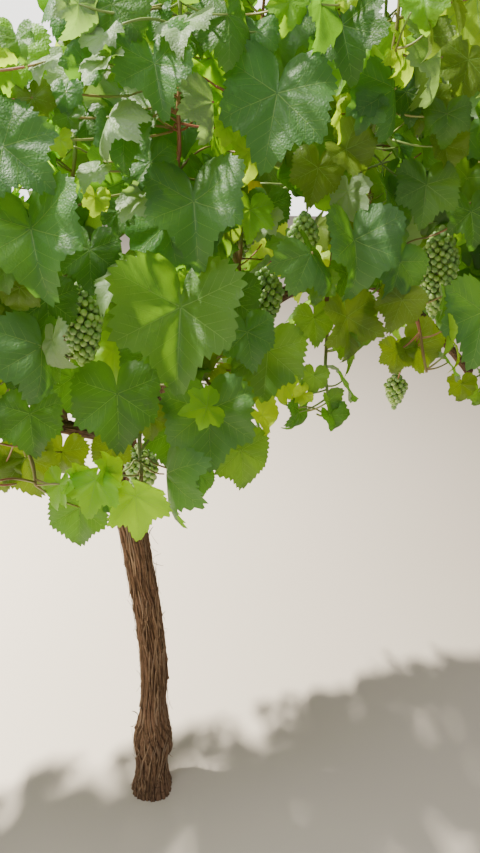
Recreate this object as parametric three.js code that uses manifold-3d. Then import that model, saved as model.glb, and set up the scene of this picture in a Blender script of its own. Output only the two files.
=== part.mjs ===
// A grapevine trained on two arms: trunk, arms, spurs and the leafy masses that grow from the spurs.
// Millimetres, +Z up. +X runs along the row, -Y is the side that the vine is seen from.
// The origin is the middle of the flat cut under the trunk.
import * as THREE from 'three';
import { mergeVertices } from 'three/addons/utils/BufferGeometryUtils.js';
import Module from 'manifold-3d';

const wasm = await Module();
wasm.setup();

// Driving dimensions
const headHeight = 945; // top of the trunk, where the arms leave
const trunkRadius = 24.5; // plain stretch of the trunk
const armReach = 760; // how far each arm runs from the head
const armRoot = 915; // height at which the arms leave the head
const armLift = 30; // how much higher an arm ends than it starts
const armRadius = { root: 13.5, tip: 8 };
const armBend = 0.61; // share of the way along where an arm is in two pieces
const spursPerArm = 5;
const spurLength = 58;
const crownTop = 1760; // height of the highest shoots
const crownFloor = 905; // lowest leaves away from the trunk
const crownHalfWidth = 860; // along the row
const crownHalfDepth = 365; // across the row
const shootDepth = { tall: [35, 85], leaning: [198, 228], hanging: [214, 254] }; // of their ends
const leafSpan = 142; // width of a full-grown leaf
const petioleLength = 74;
const internode = { upright: 118, hanging: 74 }; // distance between pairs of leaves on a shoot
const bunchLength = 120;
const touchGap = 0.3; // between pieces that meet
const cellGap = 5; // each mass keeps this far inside its own space
const fineness = 0.5; // slivers smaller than this are merged after fusing

const bark = { color: 0x6e5a45, roughness: 0.95 };
const youngWood = { color: 0x8a6a4a, roughness: 0.8 };
const foliage = { color: 0x4f7a35, roughness: 0.6 };

// The arms: right is arched high and early, left is low and late
const arms = [
  { name: 'left', side: -1, rise: 90, skew: 1.2, sway: 10 },
  { name: 'right', side: 1, rise: 235, skew: 1.12, sway: -12 },
];

// Random numbers that any program can repeat: one stream for each seed
function seededRandom(seed) {
  let state = (seed * 7919 + 104729) % 4294967296;
  const next = () => {
    state = (state * 1664525 + 1013904223) % 4294967296;
    return state / 4294967296;
  };
  next();
  next();
  return (low, high) => low + (high - low) * next();
}

const bell = (value, centre, width) => Math.exp(-(((value - centre) / width) ** 2));
const mix = (a, b, t) => a + (b - a) * t;

// Turns a three.js geometry into a solid
function solidOf(geometry) {
  const bare = geometry.clone();
  bare.deleteAttribute('normal');
  bare.deleteAttribute('uv');
  const merged = mergeVertices(bare, 1e-4);
  return new wasm.Manifold(new wasm.Mesh({
    numProp: 3,
    vertProperties: new Float32Array(merged.attributes.position.array),
    triVerts: new Uint32Array(merged.index.array),
  }));
}

function geometryOf(solid) {
  const mesh = solid.getMesh();
  const step = mesh.numProp;
  const positions = new Float32Array(mesh.numVert * 3);
  for (let i = 0; i < mesh.numVert; i++) {
    positions.set(mesh.vertProperties.subarray(i * step, i * step + 3), i * 3);
  }
  const geometry = new THREE.BufferGeometry();
  geometry.setAttribute('position', new THREE.BufferAttribute(positions, 3));
  geometry.setIndex(new THREE.BufferAttribute(mesh.triVerts, 1));
  geometry.computeVertexNormals();
  return geometry;
}

// Bends a cylinder along a curve. radiusAt takes the share of the way along and the angle round.
function taperedLimb(curve, segments, sides, radiusAt) {
  const limb = new THREE.CylinderGeometry(1, 1, 1, sides, segments);
  const frames = curve.computeFrenetFrames(segments, false);
  const centres = curve.getSpacedPoints(segments);
  const position = limb.attributes.position;
  const point = new THREE.Vector3();
  for (let i = 0; i < position.count; i++) {
    const t = position.getY(i) + 0.5;
    const k = Math.round(t * segments);
    const across = position.getX(i);
    const along = position.getZ(i);
    const radius = radiusAt(t, Math.atan2(along, across));
    point.copy(centres[k])
      .addScaledVector(frames.normals[k], along * radius)
      .addScaledVector(frames.binormals[k], across * radius);
    position.setXYZ(i, point.x, point.y, point.z);
  }
  return solidOf(limb);
}

// Trunk: nearly upright, bowed towards +X at mid-height
function trunkCentre(z) {
  const bow = 22;
  const bowTop = 710;
  const sway = 8;
  return new THREE.Vector3(bow * Math.sin(Math.PI * (z / bowTop) ** 1.2), sway * Math.sin(z / 260), z);
}

function trunkRadiusAt(z) {
  const footFlare = 17 * Math.exp(-z / 60);
  const graftUnion = 13 * bell(z, 150, 55);
  const headKnob = 8 * bell(z, headHeight - 35, 48);
  return trunkRadius + 3 * (1 - z / headHeight) + footFlare + graftUnion + headKnob;
}

// A cylinder whose rings stay level, so that its foot is a flat cut. Shallow folds run round it.
function makeTrunk(extra = 0) {
  const sides = 12;
  const segments = 15;
  const limb = new THREE.CylinderGeometry(1, 1, 1, sides, segments);
  const position = limb.attributes.position;
  for (let i = 0; i < position.count; i++) {
    const z = (position.getY(i) + 0.5) * headHeight;
    const angle = Math.atan2(position.getX(i), position.getZ(i));
    const folds = 1 + 0.05 * Math.sin(3 * angle + z / 90) + 0.035 * Math.sin(5 * angle - z / 60);
    const onAxis = Math.hypot(position.getX(i), position.getZ(i)) < 0.5;
    const radius = onAxis ? 0 : trunkRadiusAt(z) * folds + extra;
    const centre = trunkCentre(z);
    const raised = position.getY(i) > 0.49 ? extra : 0;
    position.setXYZ(i, centre.x + radius * Math.sin(angle), centre.y - radius * Math.cos(angle), z + raised);
  }
  return solidOf(limb);
}

// Arm: leaves the head, arches over and comes down towards its tip
function armPoint(arm, s, target = new THREE.Vector3()) {
  const root = trunkCentre(armRoot);
  return target.set(
    root.x + arm.side * armReach * s,
    root.y + arm.sway * Math.sin(2 * Math.PI * s),
    armRoot + armLift * s + arm.rise * Math.sin(Math.PI * Math.max(s, 1e-6) ** arm.skew),
  );
}

const armRadiusAt = (s) => mix(armRadius.root, armRadius.tip, s);

class ArmCurve extends THREE.Curve {
  constructor(arm, from, to) {
    super();
    Object.assign(this, { arm, from, to });
  }
  getPoint(t, target) {
    return armPoint(this.arm, mix(this.from, this.to, t), target);
  }
}

// A stretch of an arm, a little thicker between the spurs
function makeArm(arm, from, to, extra = 0) {
  const sides = 8;
  const segments = 8;
  const radiusAt = (t) => {
    const s = mix(from, to, t);
    const knuckle = 1 + 0.09 * Math.cos(2 * Math.PI * s * spursPerArm);
    return armRadiusAt(s) * knuckle + extra;
  };
  return taperedLimb(new ArmCurve(arm, from, to), segments, sides, radiusAt);
}

// Spurs stand on the arms, leaning to the front and to the back by turns
function spurSites() {
  const sites = [];
  for (const arm of arms) {
    for (let i = 0; i < spursPerArm; i++) {
      const s = (i + 0.55) / spursPerArm;
      const leansForward = arm.side > 0 ? i % 2 === 0 : i % 2 === 1;
      const face = leansForward ? -1 : 1;
      const root = armPoint(arm, s);
      const lean = new THREE.Vector3(arm.side * 0.12, face * 0.5, 1).normalize();
      const tip = root.clone().addScaledVector(lean, spurLength);
      sites.push({ arm, number: i + 1, face, root, lean, tip });
    }
  }
  return sites;
}

// A spur has a knob near its tip, and its foot is cut to the arm
function makeSpur(site, armSolid) {
  const sides = 6;
  const segments = 3;
  const radiusAt = (t) => mix(8.5, 6.3, t) + 2 * bell(t, 0.75, 0.2);
  const spur = taperedLimb(new THREE.LineCurve3(site.root, site.tip), segments, sides, radiusAt);
  return largestBody(spur.subtract(armSolid));
}

// Fusing leaves scraps and sealed hollows: only the outer skin of the largest body is kept
function largestBody(solid) {
  return solid.decompose().reduce((best, body) => (body.volume() > best.volume() ? body : best));
}

// Crown outline: two dips in the top, and a fringe that hangs low in front of the trunk
const topDip = (x) => 230 * bell(x, -150, 90) + 60 * bell(x, 420, 60);
const topAt = (x) => crownTop - topDip(x) - 110 * (x / crownHalfWidth) ** 4;
const floorAt = (x) => crownFloor - 100 * bell(x, 0, 200) + 60 * bell(x, 440, 90);

// Each mass keeps to a cell. Wavy borders part it from its neighbours along the row and across it.
const borderWave = (x, z) => x + 22 * Math.sin(z / 95 + x / 130);
const middleWave = (z) => 10 * Math.sin(z / 120);

function inCell(cell, p) {
  const low = borderWave(cell.low, p.z) + cellGap;
  const high = borderWave(cell.high, p.z) - cellGap;
  const near = cell.face * middleWave(p.z) + cellGap;
  const depth = cell.face * p.y;
  const inPlan = p.x > low && p.x < high && depth > near && depth < crownHalfDepth;
  return inPlan && p.z < topAt(p.x) && p.z > floorAt(p.x);
}

// Points along every limb with the radius there, for keeping leaves off the wood
const limbSamples = [];
for (let z = 0; z <= headHeight; z += 12) {
  limbSamples.push({ p: trunkCentre(z), r: trunkRadiusAt(z) * 1.09 });
}
for (const arm of arms) {
  for (let s = 0; s <= 1; s += 0.012) {
    limbSamples.push({ p: armPoint(arm, s), r: armRadiusAt(s) * 1.1 });
  }
}
for (const site of spurSites()) {
  for (let t = 0; t <= 1; t += 0.2) {
    limbSamples.push({ p: site.root.clone().lerp(site.tip, t), r: 11 });
  }
}

// Leaf blade in its own frame: width 1, stalk at the origin, tip along -v, face along n.
const leafOutline = [[0, -0.64], [0.47, -0.2], [0.34, 0.33], [-0.34, 0.33], [-0.47, -0.2]];
const leafDrop = [0.1, 0.09, 0.02, 0.02, 0.09]; // how far each outline point bends back
const leafThickness = 0.013; // half of the thickness at the stalk
const stalkSection = [[0.024, -0.014], [0, 0.028], [-0.024, -0.014]];
const stalkTaper = 0.62; // thickness of the stalk at the shoot against that at the blade

function leafCorner(leaf, u, v, n) {
  return leaf.at.clone()
    .addScaledVector(leaf.across, u * leaf.span)
    .addScaledVector(leaf.up, v * leaf.span)
    .addScaledVector(leaf.normal, n * leaf.span);
}

const leafCorners = (leaf) => leafOutline.map(([u, v], i) => leafCorner(leaf, u, v, -leafDrop[i]));

// Blade and stalk in one: the back of the blade runs down into a three-sided stalk that ends in the shoot
function makeLeaf(leaf) {
  const ring = leafCorners(leaf);
  const top = leafCorner(leaf, 0, -0.05, leafThickness);
  const socket = stalkSection.map(([u, v]) => leafCorner(leaf, u, v - 0.03, -leafThickness));
  const centre = leafCorner(leaf, 0, -0.03, -leafThickness);
  const sunk = leaf.node.clone().lerp(leaf.at, -0.03); // a little past the middle of the shoot
  const root = socket.map((p) => p.clone().sub(centre).multiplyScalar(stalkTaper).add(sunk));
  const points = [...ring, top, ...socket, ...root];
  const [t, a, b, c, d, e, f] = [5, 6, 7, 8, 9, 10, 11];
  const faces = [
    0, 1, t, 1, 2, t, 2, 3, t, 3, 4, t, 4, 0, t, // front of the blade
    1, 0, a, 2, 1, a, a, b, 2, 3, 2, b, b, c, 3, 4, 3, c, 0, 4, c, c, a, 0, // back of the blade
    d, e, b, d, b, a, e, f, c, e, c, b, f, d, a, f, a, c, // stalk
    f, e, d, // end inside the shoot
  ];
  const geometry = new THREE.BufferGeometry();
  geometry.setAttribute('position', new THREE.Float32BufferAttribute(points.flatMap((p) => p.toArray()), 3));
  geometry.setIndex(faces);
  return solidOf(geometry);
}

// A leaf touches a limb where a sample of it comes close to the blade's plane, within its outline
function leafTouchesLimb(leaf, samples) {
  const offset = new THREE.Vector3();
  return samples.some(({ p, r }) => {
    offset.subVectors(p, leaf.at);
    const u = offset.dot(leaf.across) / leaf.span;
    const v = offset.dot(leaf.up) / leaf.span;
    const n = Math.abs(offset.dot(leaf.normal) + 0.05 * leaf.span);
    const reach = r / leaf.span;
    return n < r + 0.06 * leaf.span && Math.abs(u) < 0.5 + reach && v > -0.68 - reach && v < 0.38 + reach;
  });
}

function stalkTouchesLimb(from, to, samples) {
  const span = new THREE.Line3(from, to);
  const near = new THREE.Vector3();
  return samples.some(({ p, r }) => span.closestPointToPoint(p, true, near).distanceTo(p) < r + 5);
}

// The stalk and outline of a leaf as segments, and its blade as triangles
function leafShape(leaf) {
  const ring = leafCorners(leaf);
  const next = (i) => ring[(i + 1) % ring.length];
  const segments = [[leaf.node, leaf.at.clone().lerp(leaf.node, 0.08)]];
  ring.forEach((corner, i) => segments.push([corner, next(i)], [leaf.at, corner]));
  const triangles = ring.map((corner, i) => [leaf.at, corner, next(i)]);
  return { at: leaf.at, span: leaf.span, segments, triangles };
}

function crosses(segments, triangles) {
  const ray = new THREE.Ray();
  const hit = new THREE.Vector3();
  return segments.some(([from, to]) => {
    ray.origin.copy(from);
    ray.direction.subVectors(to, from).normalize();
    const length = from.distanceTo(to);
    const isHit = ([a, b, c]) => ray.intersectTriangle(a, b, c, false, hit) && from.distanceTo(hit) < length;
    return triangles.some(isHit);
  });
}

function leafCrossesOthers(leaf, cell) {
  const shape = leafShape(leaf);
  const reach = (other) => shape.span + other.span + petioleLength;
  const close = cell.placed.filter((other) => other.at.distanceTo(shape.at) < reach(other));
  const crossEachOther = (other) => (
    crosses(shape.segments, other.triangles) || crosses(other.segments, shape.triangles));
  return crosses(cell.twigs, shape.triangles) || close.some(crossEachOther);
}

// One leaf on a stalk from a node. turn is the angle from the outward direction.
function leafFrom(node, cell, size, turn, random) {
  const outward = new THREE.Vector3(cell.lean, cell.face, 0).normalize();
  const aim = outward.clone().applyAxisAngle(new THREE.Vector3(0, 0, 1), turn);
  const stalk = aim.clone().add(new THREE.Vector3(0, 0, random(-0.2, 0.8))).normalize();
  const length = petioleLength * random(0.6, 1.2) * (0.5 + 0.5 * size);
  const at = node.clone().addScaledVector(stalk, length);
  const facing = outward.clone().applyAxisAngle(new THREE.Vector3(0, 0, 1), turn * 0.6 + random(-0.35, 0.35));
  const normal = facing.add(new THREE.Vector3(0, 0, random(0.05, 1))).normalize();
  const hang = new THREE.Vector3(random(-0.5, 0.5), random(-0.2, 0.2), -1).addScaledVector(aim, 0.25);
  const tip = hang.addScaledVector(normal, -hang.dot(normal)).normalize();
  const up = tip.clone().negate();
  const across = new THREE.Vector3().crossVectors(up, normal);
  return { node, at, stalk, normal, up, across, span: leafSpan * size };
}

// Tries turns of the stalk until the leaf stays in its mass's own space, clear of wood and of other leaves
function placeLeaf(node, cell, size, turn, random) {
  const tries = 28;
  for (let i = 0; i < tries; i++) {
    const shrink = 1 - 0.012 * i;
    const leaf = leafFrom(node, cell, size * shrink, turn * random(0.4, 1.3) * (i % 2 ? -1 : 1), random);
    const stalkIsBehind = leaf.stalk.dot(leaf.normal) > 0.3;
    const inside = stalkIsBehind && inCell(cell, leaf.at) && leafCorners(leaf).every((p) => inCell(cell, p));
    if (inside && !leafTouchesLimb(leaf, cell.wood) && !stalkTouchesLimb(leaf.node, leaf.at, cell.wood)
      && !leafCrossesOthers(leaf, cell)) {
      cell.placed.push(leafShape(leaf));
      return leaf;
    }
  }
  return null;
}

// A shoot that curves from the fork of a mass up to a height, and ends at a depth from the row's middle
function shootTo(cell, x, depth, height, random) {
  const { fork, face } = cell;
  const bowOut = 45;
  return {
    kind: 'upright',
    path: new THREE.CubicBezierCurve3(
      fork,
      new THREE.Vector3(mix(fork.x, x, 0.5), fork.y + face * random(20, 45), mix(fork.z, height, 0.25)),
      new THREE.Vector3(x + random(-15, 15), face * (depth + bowOut), mix(fork.z, height, 0.6)),
      new THREE.Vector3(x + random(-25, 25), face * depth, height),
    ),
  };
}

// A shoot that falls in front of the arm to just above the crown's lower edge
function hangingShoot(cell, x, random) {
  const { fork, face } = cell;
  const low = floorAt(x) + random(75, 105);
  return {
    kind: 'hanging',
    path: new THREE.CubicBezierCurve3(
      fork,
      new THREE.Vector3(mix(fork.x, x, 0.3), fork.y + face * 70, fork.z + 30),
      new THREE.Vector3(x, face * random(155, 185), mix(fork.z, low, 0.2)),
      new THREE.Vector3(x, face * random(...shootDepth.hanging), low),
    ),
  };
}

// The shoots of one mass: tall canes side by side, a shorter one that leans out, and two that hang
function shootsOf(cell, random) {
  const width = cell.high - cell.low;
  const tallSpacing = 155;
  const acrossCell = (count) => Array.from({ length: count }, (_, i) => (
    cell.low + (i + 0.5 + random(-0.08, 0.08)) * width / count));
  const tall = acrossCell(Math.round(width / tallSpacing))
    .map((x) => shootTo(cell, x, random(...shootDepth.tall), topAt(x) - random(45, 90), random));
  const middle = (cell.low + cell.high) / 2;
  const leaningTop = mix(cell.fork.z, topAt(middle), 0.72);
  const leaning = shootTo(cell, middle, random(...shootDepth.leaning), leaningTop, random);
  const hanging = acrossCell(2).map((x) => hangingShoot(cell, x, random));
  return [...tall, leaning, ...hanging];
}

const shootRadiusAt = (t) => mix(5.2, 2.6, t);
const shootSegments = 4;

// A point on the straight stretches that make up a shoot
function alongShoot(shoot, t) {
  const points = shoot.path.getSpacedPoints(shootSegments);
  const place = Math.min(t, 0.985) * shootSegments;
  const k = Math.floor(place);
  return points[k].clone().lerp(points[k + 1], place - k);
}

// Leaves stand on a shoot in pairs, a full leaf above and a smaller one a little lower on the other side
function growShoot(shoot, shootNumber, cell) {
  const leaves = [];
  const nodes = Math.round(shoot.path.getLength() / internode[shoot.kind]);
  for (let j = 0; j < nodes; j++) {
    const t = (j + 0.95) / nodes;
    const random = seededRandom(cell.seed * 1000 + shootNumber * 100 + j);
    const side = j % 2 ? -1 : 1;
    const youth = shoot.kind === 'upright' ? 1 - 0.4 * t * t : 0.9 - 0.25 * t;
    const above = alongShoot(shoot, t);
    leaves.push(placeLeaf(above, cell, youth * random(0.86, 1.12), side * random(0.2, 1.25), random));
    const below = alongShoot(shoot, t - 0.45 / nodes);
    leaves.push(placeLeaf(below, cell, youth * random(0.7, 0.95), -side * random(0.5, 2.6), random));
  }
  const twig = taperedLimb(shoot.path, shootSegments, 3, shootRadiusAt);
  return [twig, ...leaves.filter(Boolean).map(makeLeaf)];
}

// A bunch of grapes as one lumpy cone that hangs from a node
function makeBunch({ top, length, width }) {
  const profile = [[0, -1], [0.36, -0.7], [0.5, -0.36], [0.31, -0.12], [0, 0]];
  const sides = 7;
  const outline = profile.map(([r, z]) => new THREE.Vector2(r * width, z * length));
  const lathe = new THREE.LatheGeometry(outline, sides);
  const position = lathe.attributes.position;
  for (let i = 0; i < position.count; i++) {
    const [x, height, z] = [position.getX(i), position.getY(i), position.getZ(i)];
    const lump = 1 + 0.12 * Math.sin(3 * Math.atan2(z, x) + height / 14);
    position.setXYZ(i, top.x + x * lump, top.y - z * lump, top.z + height);
  }
  return solidOf(lathe);
}

// A three-sided stalk from the shoot to just inside the top of the bunch
function makeBunchStalk({ node, top }) {
  const end = top.clone().add(new THREE.Vector3(0, 0, -12));
  return taperedLimb(new THREE.LineCurve3(node, end), 1, 3, (t) => mix(2.8, 2.4, t));
}

// The bunches that show from the front, by place; a mass at the back has two low on its tall canes
const frontBunches = [
  { x: -72, y: -150, middle: 1148, length: 140, width: 66 },
  { x: 8, y: -100, middle: 885, length: 105, width: 66 },
  { x: 221, y: -120, middle: 1163, length: 112, width: 60 },
  { x: 280, y: -125, middle: 1252, length: 96, width: 52 },
  { x: 540, y: -120, middle: 1185, length: 165, width: 74 },
  { x: 513, y: -70, middle: 955, length: 80, width: 48 },
];

function bunchesOf(cell, shoots) {
  const nearest = (target) => shoots
    .flatMap((shoot) => Array.from({ length: 19 }, (_, i) => alongShoot(shoot, (i + 1) / 20)))
    .reduce((best, p) => (p.distanceTo(target) < best.distanceTo(target) ? p : best));
  if (cell.face < 0) {
    const ofCell = frontBunches.filter(({ x }) => x > cell.low && x < cell.high);
    return ofCell.map(({ x, y, middle, length, width }) => {
      const top = new THREE.Vector3(x, y, middle + length / 2);
      return { node: nearest(top.clone().add(new THREE.Vector3(0, 0, 25))), top, length, width };
    });
  }
  return shoots.slice(0, 2).map((shoot, i) => {
    const random = seededRandom(cell.seed * 1000 + 900 + i);
    const node = alongShoot(shoot, random(0.16, 0.3));
    const length = bunchLength * random(0.85, 1.15);
    const top = node.clone().add(new THREE.Vector3(random(-12, 12), cell.face * random(34, 48), -22));
    return { node, top, length, width: 0.55 * length };
  });
}

// Points down the middle of a bunch, for keeping leaves off it
const bunchSamples = ({ top, length, width }) => [0.15, 0.4, 0.7].map((share) => ({
  p: top.clone().add(new THREE.Vector3(0, 0, -share * length)),
  r: width / 2,
}));

// One mass: a stem that meets the spur's tip, its shoots with their leaves, and its bunches, fused
function makeMass(site, cell) {
  const random = seededRandom(cell.seed);
  const start = site.tip.clone().addScaledVector(site.lean, touchGap);
  cell.fork = site.tip.clone().addScaledVector(site.lean, 45);
  const stemEnd = cell.fork.clone().addScaledVector(site.lean, 4);
  const shoots = shootsOf(cell, random);
  const bunches = bunchesOf(cell, shoots);
  cell.placed = [];
  cell.wood = limbSamples.filter(({ p }) => p.distanceTo(site.tip) > 8).concat(bunches.flatMap(bunchSamples));
  cell.twigs = shoots.flatMap((shoot) => {
    const points = shoot.path.getSpacedPoints(shootSegments);
    return points.slice(1).map((point, i) => [points[i], point]);
  });
  const solids = [
    taperedLimb(new THREE.LineCurve3(start, stemEnd), 1, 5, () => 6.2),
    ...shoots.flatMap((shoot, i) => growShoot(shoot, i, cell)),
    ...bunches.map(makeBunchStalk),
    ...bunches.map(makeBunch),
  ];
  return largestBody(wasm.Manifold.union(solids)).asOriginal().simplify(fineness);
}

// Front and back each have one row of cells, with borders half-way between the spurs
const firstSeed = { front: 10, back: 40 };

function cellsFor(sites, face) {
  const side = face < 0 ? 'front' : 'back';
  const row = sites.filter((site) => site.face === face).sort((a, b) => a.root.x - b.root.x);
  return row.map((site, i) => ({
    site,
    face,
    seed: firstSeed[side] + i,
    low: i === 0 ? -crownHalfWidth : (row[i - 1].root.x + site.root.x) / 2,
    high: i === row.length - 1 ? crownHalfWidth : (row[i + 1].root.x + site.root.x) / 2,
    lean: i === 0 ? -0.45 : i === row.length - 1 ? 0.45 : 0,
    name: `foliage_${side}_${i + 1}`,
  }));
}

const grapevine = new THREE.Group();
grapevine.name = 'grapevine';

function addPiece(name, solid, look) {
  const material = new THREE.MeshStandardMaterial({ metalness: 0, ...look });
  const mesh = new THREE.Mesh(geometryOf(solid), material);
  mesh.name = name;
  grapevine.add(mesh);
}

addPiece('trunk', makeTrunk(), bark);

const trunkClearance = makeTrunk(touchGap);
const armClearance = {};
for (const arm of arms) {
  const halfGap = touchGap / 2 / armReach;
  const inner = [0, armBend - halfGap];
  const outer = [armBend + halfGap, 1];
  addPiece(`${arm.name}_arm_inner`, largestBody(makeArm(arm, ...inner).subtract(trunkClearance)), bark);
  addPiece(`${arm.name}_arm_outer`, makeArm(arm, ...outer), bark);
  armClearance[arm.name] = makeArm(arm, ...inner, touchGap).add(makeArm(arm, ...outer, touchGap));
}

const sites = spurSites();
for (const site of sites) {
  addPiece(`${site.arm.name}_spur_${site.number}`, makeSpur(site, armClearance[site.arm.name]), youngWood);
}
for (const face of [-1, 1]) {
  for (const cell of cellsFor(sites, face)) addPiece(cell.name, makeMass(cell.site, cell), foliage);
}

export default grapevine;
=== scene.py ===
import bpy
import math
import numpy as np
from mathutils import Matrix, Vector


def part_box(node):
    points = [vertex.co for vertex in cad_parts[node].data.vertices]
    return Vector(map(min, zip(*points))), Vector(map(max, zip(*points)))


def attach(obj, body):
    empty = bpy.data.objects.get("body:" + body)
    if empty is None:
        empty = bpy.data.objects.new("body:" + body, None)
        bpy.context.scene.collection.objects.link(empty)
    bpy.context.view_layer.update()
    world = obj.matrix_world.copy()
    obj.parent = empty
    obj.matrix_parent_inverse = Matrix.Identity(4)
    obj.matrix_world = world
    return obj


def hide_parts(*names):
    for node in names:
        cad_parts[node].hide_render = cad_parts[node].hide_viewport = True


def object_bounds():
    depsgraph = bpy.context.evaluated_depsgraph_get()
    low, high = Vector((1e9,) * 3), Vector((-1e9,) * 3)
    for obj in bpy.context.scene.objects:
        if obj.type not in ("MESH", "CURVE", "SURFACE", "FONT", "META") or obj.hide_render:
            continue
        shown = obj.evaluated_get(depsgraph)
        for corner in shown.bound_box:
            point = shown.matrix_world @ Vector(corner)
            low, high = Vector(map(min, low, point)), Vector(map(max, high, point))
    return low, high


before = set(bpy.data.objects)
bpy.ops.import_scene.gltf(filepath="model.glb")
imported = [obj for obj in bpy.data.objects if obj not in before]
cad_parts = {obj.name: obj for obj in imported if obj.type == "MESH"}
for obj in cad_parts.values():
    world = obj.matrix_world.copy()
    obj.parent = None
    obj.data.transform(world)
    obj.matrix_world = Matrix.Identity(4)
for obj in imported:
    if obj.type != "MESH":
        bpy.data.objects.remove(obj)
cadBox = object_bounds()
print("frame loaded, nodes:", len(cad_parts))

# Sizes that the whole vine follows, in metres; the ones that a CAD node shows are read from the frame
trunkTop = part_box("trunk")[1]
vine = {
    "headHeight": trunkTop.z,
    "trunkRadius": 0.0245,
    "armReach": 0.76,
    "armRoot": trunkTop.z - 0.03,
    "armLift": 0.03,
    "armRootRadius": 0.0135,
    "armTipRadius": 0.008,
    "spursPerArm": 5,
    "spurLength": 0.058,
    "crownTop": 1.76,
    "crownFloor": 0.905,
    "crownHalfWidth": 0.86,
    "crownHalfDepth": 0.365,
    "tallDepth": (0.035, 0.085),  # where shoots end, out from the row's middle
    "leaningDepth": (0.198, 0.228),
    "hangingDepth": (0.214, 0.254),
    "shootEnd": 0.985,  # as far along a shoot as its last leaf or bunch
    "leafSpan": 0.142,
    "stalkLength": 0.074,
    "bunchLength": 0.12,
    "cellGap": 0.005,
    "backRoom": 0.012,  # kept free at the back of the frame's box, for tips that curl past their corners
}
arms = [
    {"name": "left", "side": -1, "rise": 0.09, "skew": 1.2, "sway": 0.01},
    {"name": "right", "side": 1, "rise": 0.235, "skew": 1.12, "sway": -0.012},
]
vertical = np.array([0.0, 0.0, 1.0])


def seededRandom(seed):
    # the same stream as in the part's source: each draw multiplies and adds, modulo 2 to the power 32
    state = [(seed * 7919 + 104729) % 2**32]

    def draw(low, high):
        state[0] = (state[0] * 1664525 + 1013904223) % 2**32
        return low + (high - low) * state[0] / 2**32

    draw(0, 1)
    draw(0, 1)
    return draw


def bell(value, centre, width):
    return np.exp(-(((value - centre) / width) ** 2))


def mix(a, b, t):
    return a + (b - a) * t


def unit(v):
    # a vector, or each row of an array, over its own length
    return v / np.maximum(np.linalg.norm(v, axis=-1, keepdims=True), 1e-12)


def turned(v, angle):
    # a vector turned about the vertical
    c, s = math.cos(angle), math.sin(angle)
    return np.array([v[0] * c - v[1] * s, v[0] * s + v[1] * c, v[2]])


def scatter(i, j, seed):
    # one value from 0 to 1 for each pair of whole numbers: the fraction left of a large sine
    raw = np.sin(i * 127.1 + j * 311.7 + seed * 74.7) * 43758.5453
    return raw - np.floor(raw)


def latticeNoise(x, y, seed, period=None):
    # smooth noise from 0 to 1: scattered values at whole numbers, eased between with 3t^2 - 2t^3.
    # period makes it repeat along x, for a pattern that closes round a limb
    ix, iy = np.floor(x), np.floor(y)
    fx, fy = x - ix, y - iy
    fx, fy = fx * fx * (3 - 2 * fx), fy * fy * (3 - 2 * fy)

    def value(i, j):
        return scatter(np.mod(i, period) if period else i, j, seed)

    low = mix(value(ix, iy), value(ix + 1, iy), fx)
    high = mix(value(ix, iy + 1), value(ix + 1, iy + 1), fx)
    return mix(low, high, fy)


# Meshes

def gridFaces(rows, columns, closed):
    # quads of a grid of rows by columns, stored row by row; closed joins the last column to the first
    r, c = np.meshgrid(np.arange(rows - 1), np.arange(columns if closed else columns - 1), indexing="ij")
    n = (c + 1) % columns
    quads = np.stack([r * columns + c, r * columns + n, (r + 1) * columns + n, (r + 1) * columns + c], -1)
    return quads.reshape(-1, 4)


def makePiece(name, points, faceSets, materials, slot="foliage", slotOf=None, crevice=None):
    # one smooth mesh object from an array of points and arrays of three- and four-sided faces
    sizes = np.concatenate([np.full(len(faces), faces.shape[1]) for faces in faceSets])
    corners = np.concatenate([faces.reshape(-1) for faces in faceSets])
    mesh = bpy.data.meshes.new(name)
    mesh.vertices.add(len(points))
    mesh.vertices.foreach_set("co", points.astype(np.float32).reshape(-1))
    mesh.loops.add(len(corners))
    mesh.loops.foreach_set("vertex_index", corners.astype(np.int32))
    mesh.polygons.add(len(sizes))
    mesh.polygons.foreach_set("loop_start", (np.cumsum(sizes) - sizes).astype(np.int32))
    for material in materials:
        mesh.materials.append(material)
    if slotOf is not None:
        mesh.polygons.foreach_set("material_index", slotOf.astype(np.int32))
    mesh.polygons.foreach_set("use_smooth", np.ones(len(sizes), bool))
    if crevice is not None:
        layer = mesh.attributes.new("crevice", "FLOAT", "POINT")
        layer.data.foreach_set("value", crevice.astype(np.float32))
    mesh.update(calc_edges=True)
    mesh.validate()
    piece = bpy.data.objects.new(name, mesh)
    bpy.context.scene.collection.objects.link(piece)
    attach(piece, "root")
    return piece


def alongPath(points, count):
    # the path again with evenly spaced points
    steps = np.concatenate([[0], np.cumsum(np.linalg.norm(np.diff(points, axis=0), axis=1))])
    places = np.linspace(0, steps[-1], count)
    return np.stack([np.interp(places, steps, points[:, k]) for k in range(3)], 1)


def lengthOf(path):
    return np.linalg.norm(np.diff(path, axis=0), axis=1).sum()


def pointAt(path, t):
    # the point at that share of the path's steps, at most just before its end
    place = min(t, vine["shootEnd"]) * (len(path) - 1)
    k = int(place)
    return mix(path[k], path[k + 1], place - k)


def sidesOf(paths):
    # for each path (N, S, 3): two sides square to its direction, kept from twisting by one fixed reference
    tangent = unit(np.gradient(paths, axis=1))
    mean = np.abs(unit(tangent.mean(axis=1)))
    reference = np.eye(3)[np.argmin(mean, axis=1)][:, None, :]
    across = unit(reference - (reference * tangent).sum(-1, keepdims=True) * tangent)
    return across, np.cross(tangent, across)


def endCaps(rows, columns):
    # fans that close the first and last ring onto two more points, stored after the grid
    k = np.arange(columns)
    n = (k + 1) % columns
    last = (rows - 1) * columns
    first = np.stack([n, k, np.full(columns, rows * columns)], 1)
    final = np.stack([last + k, last + n, np.full(columns, rows * columns + 1)], 1)
    return np.concatenate([first, final])


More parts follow.
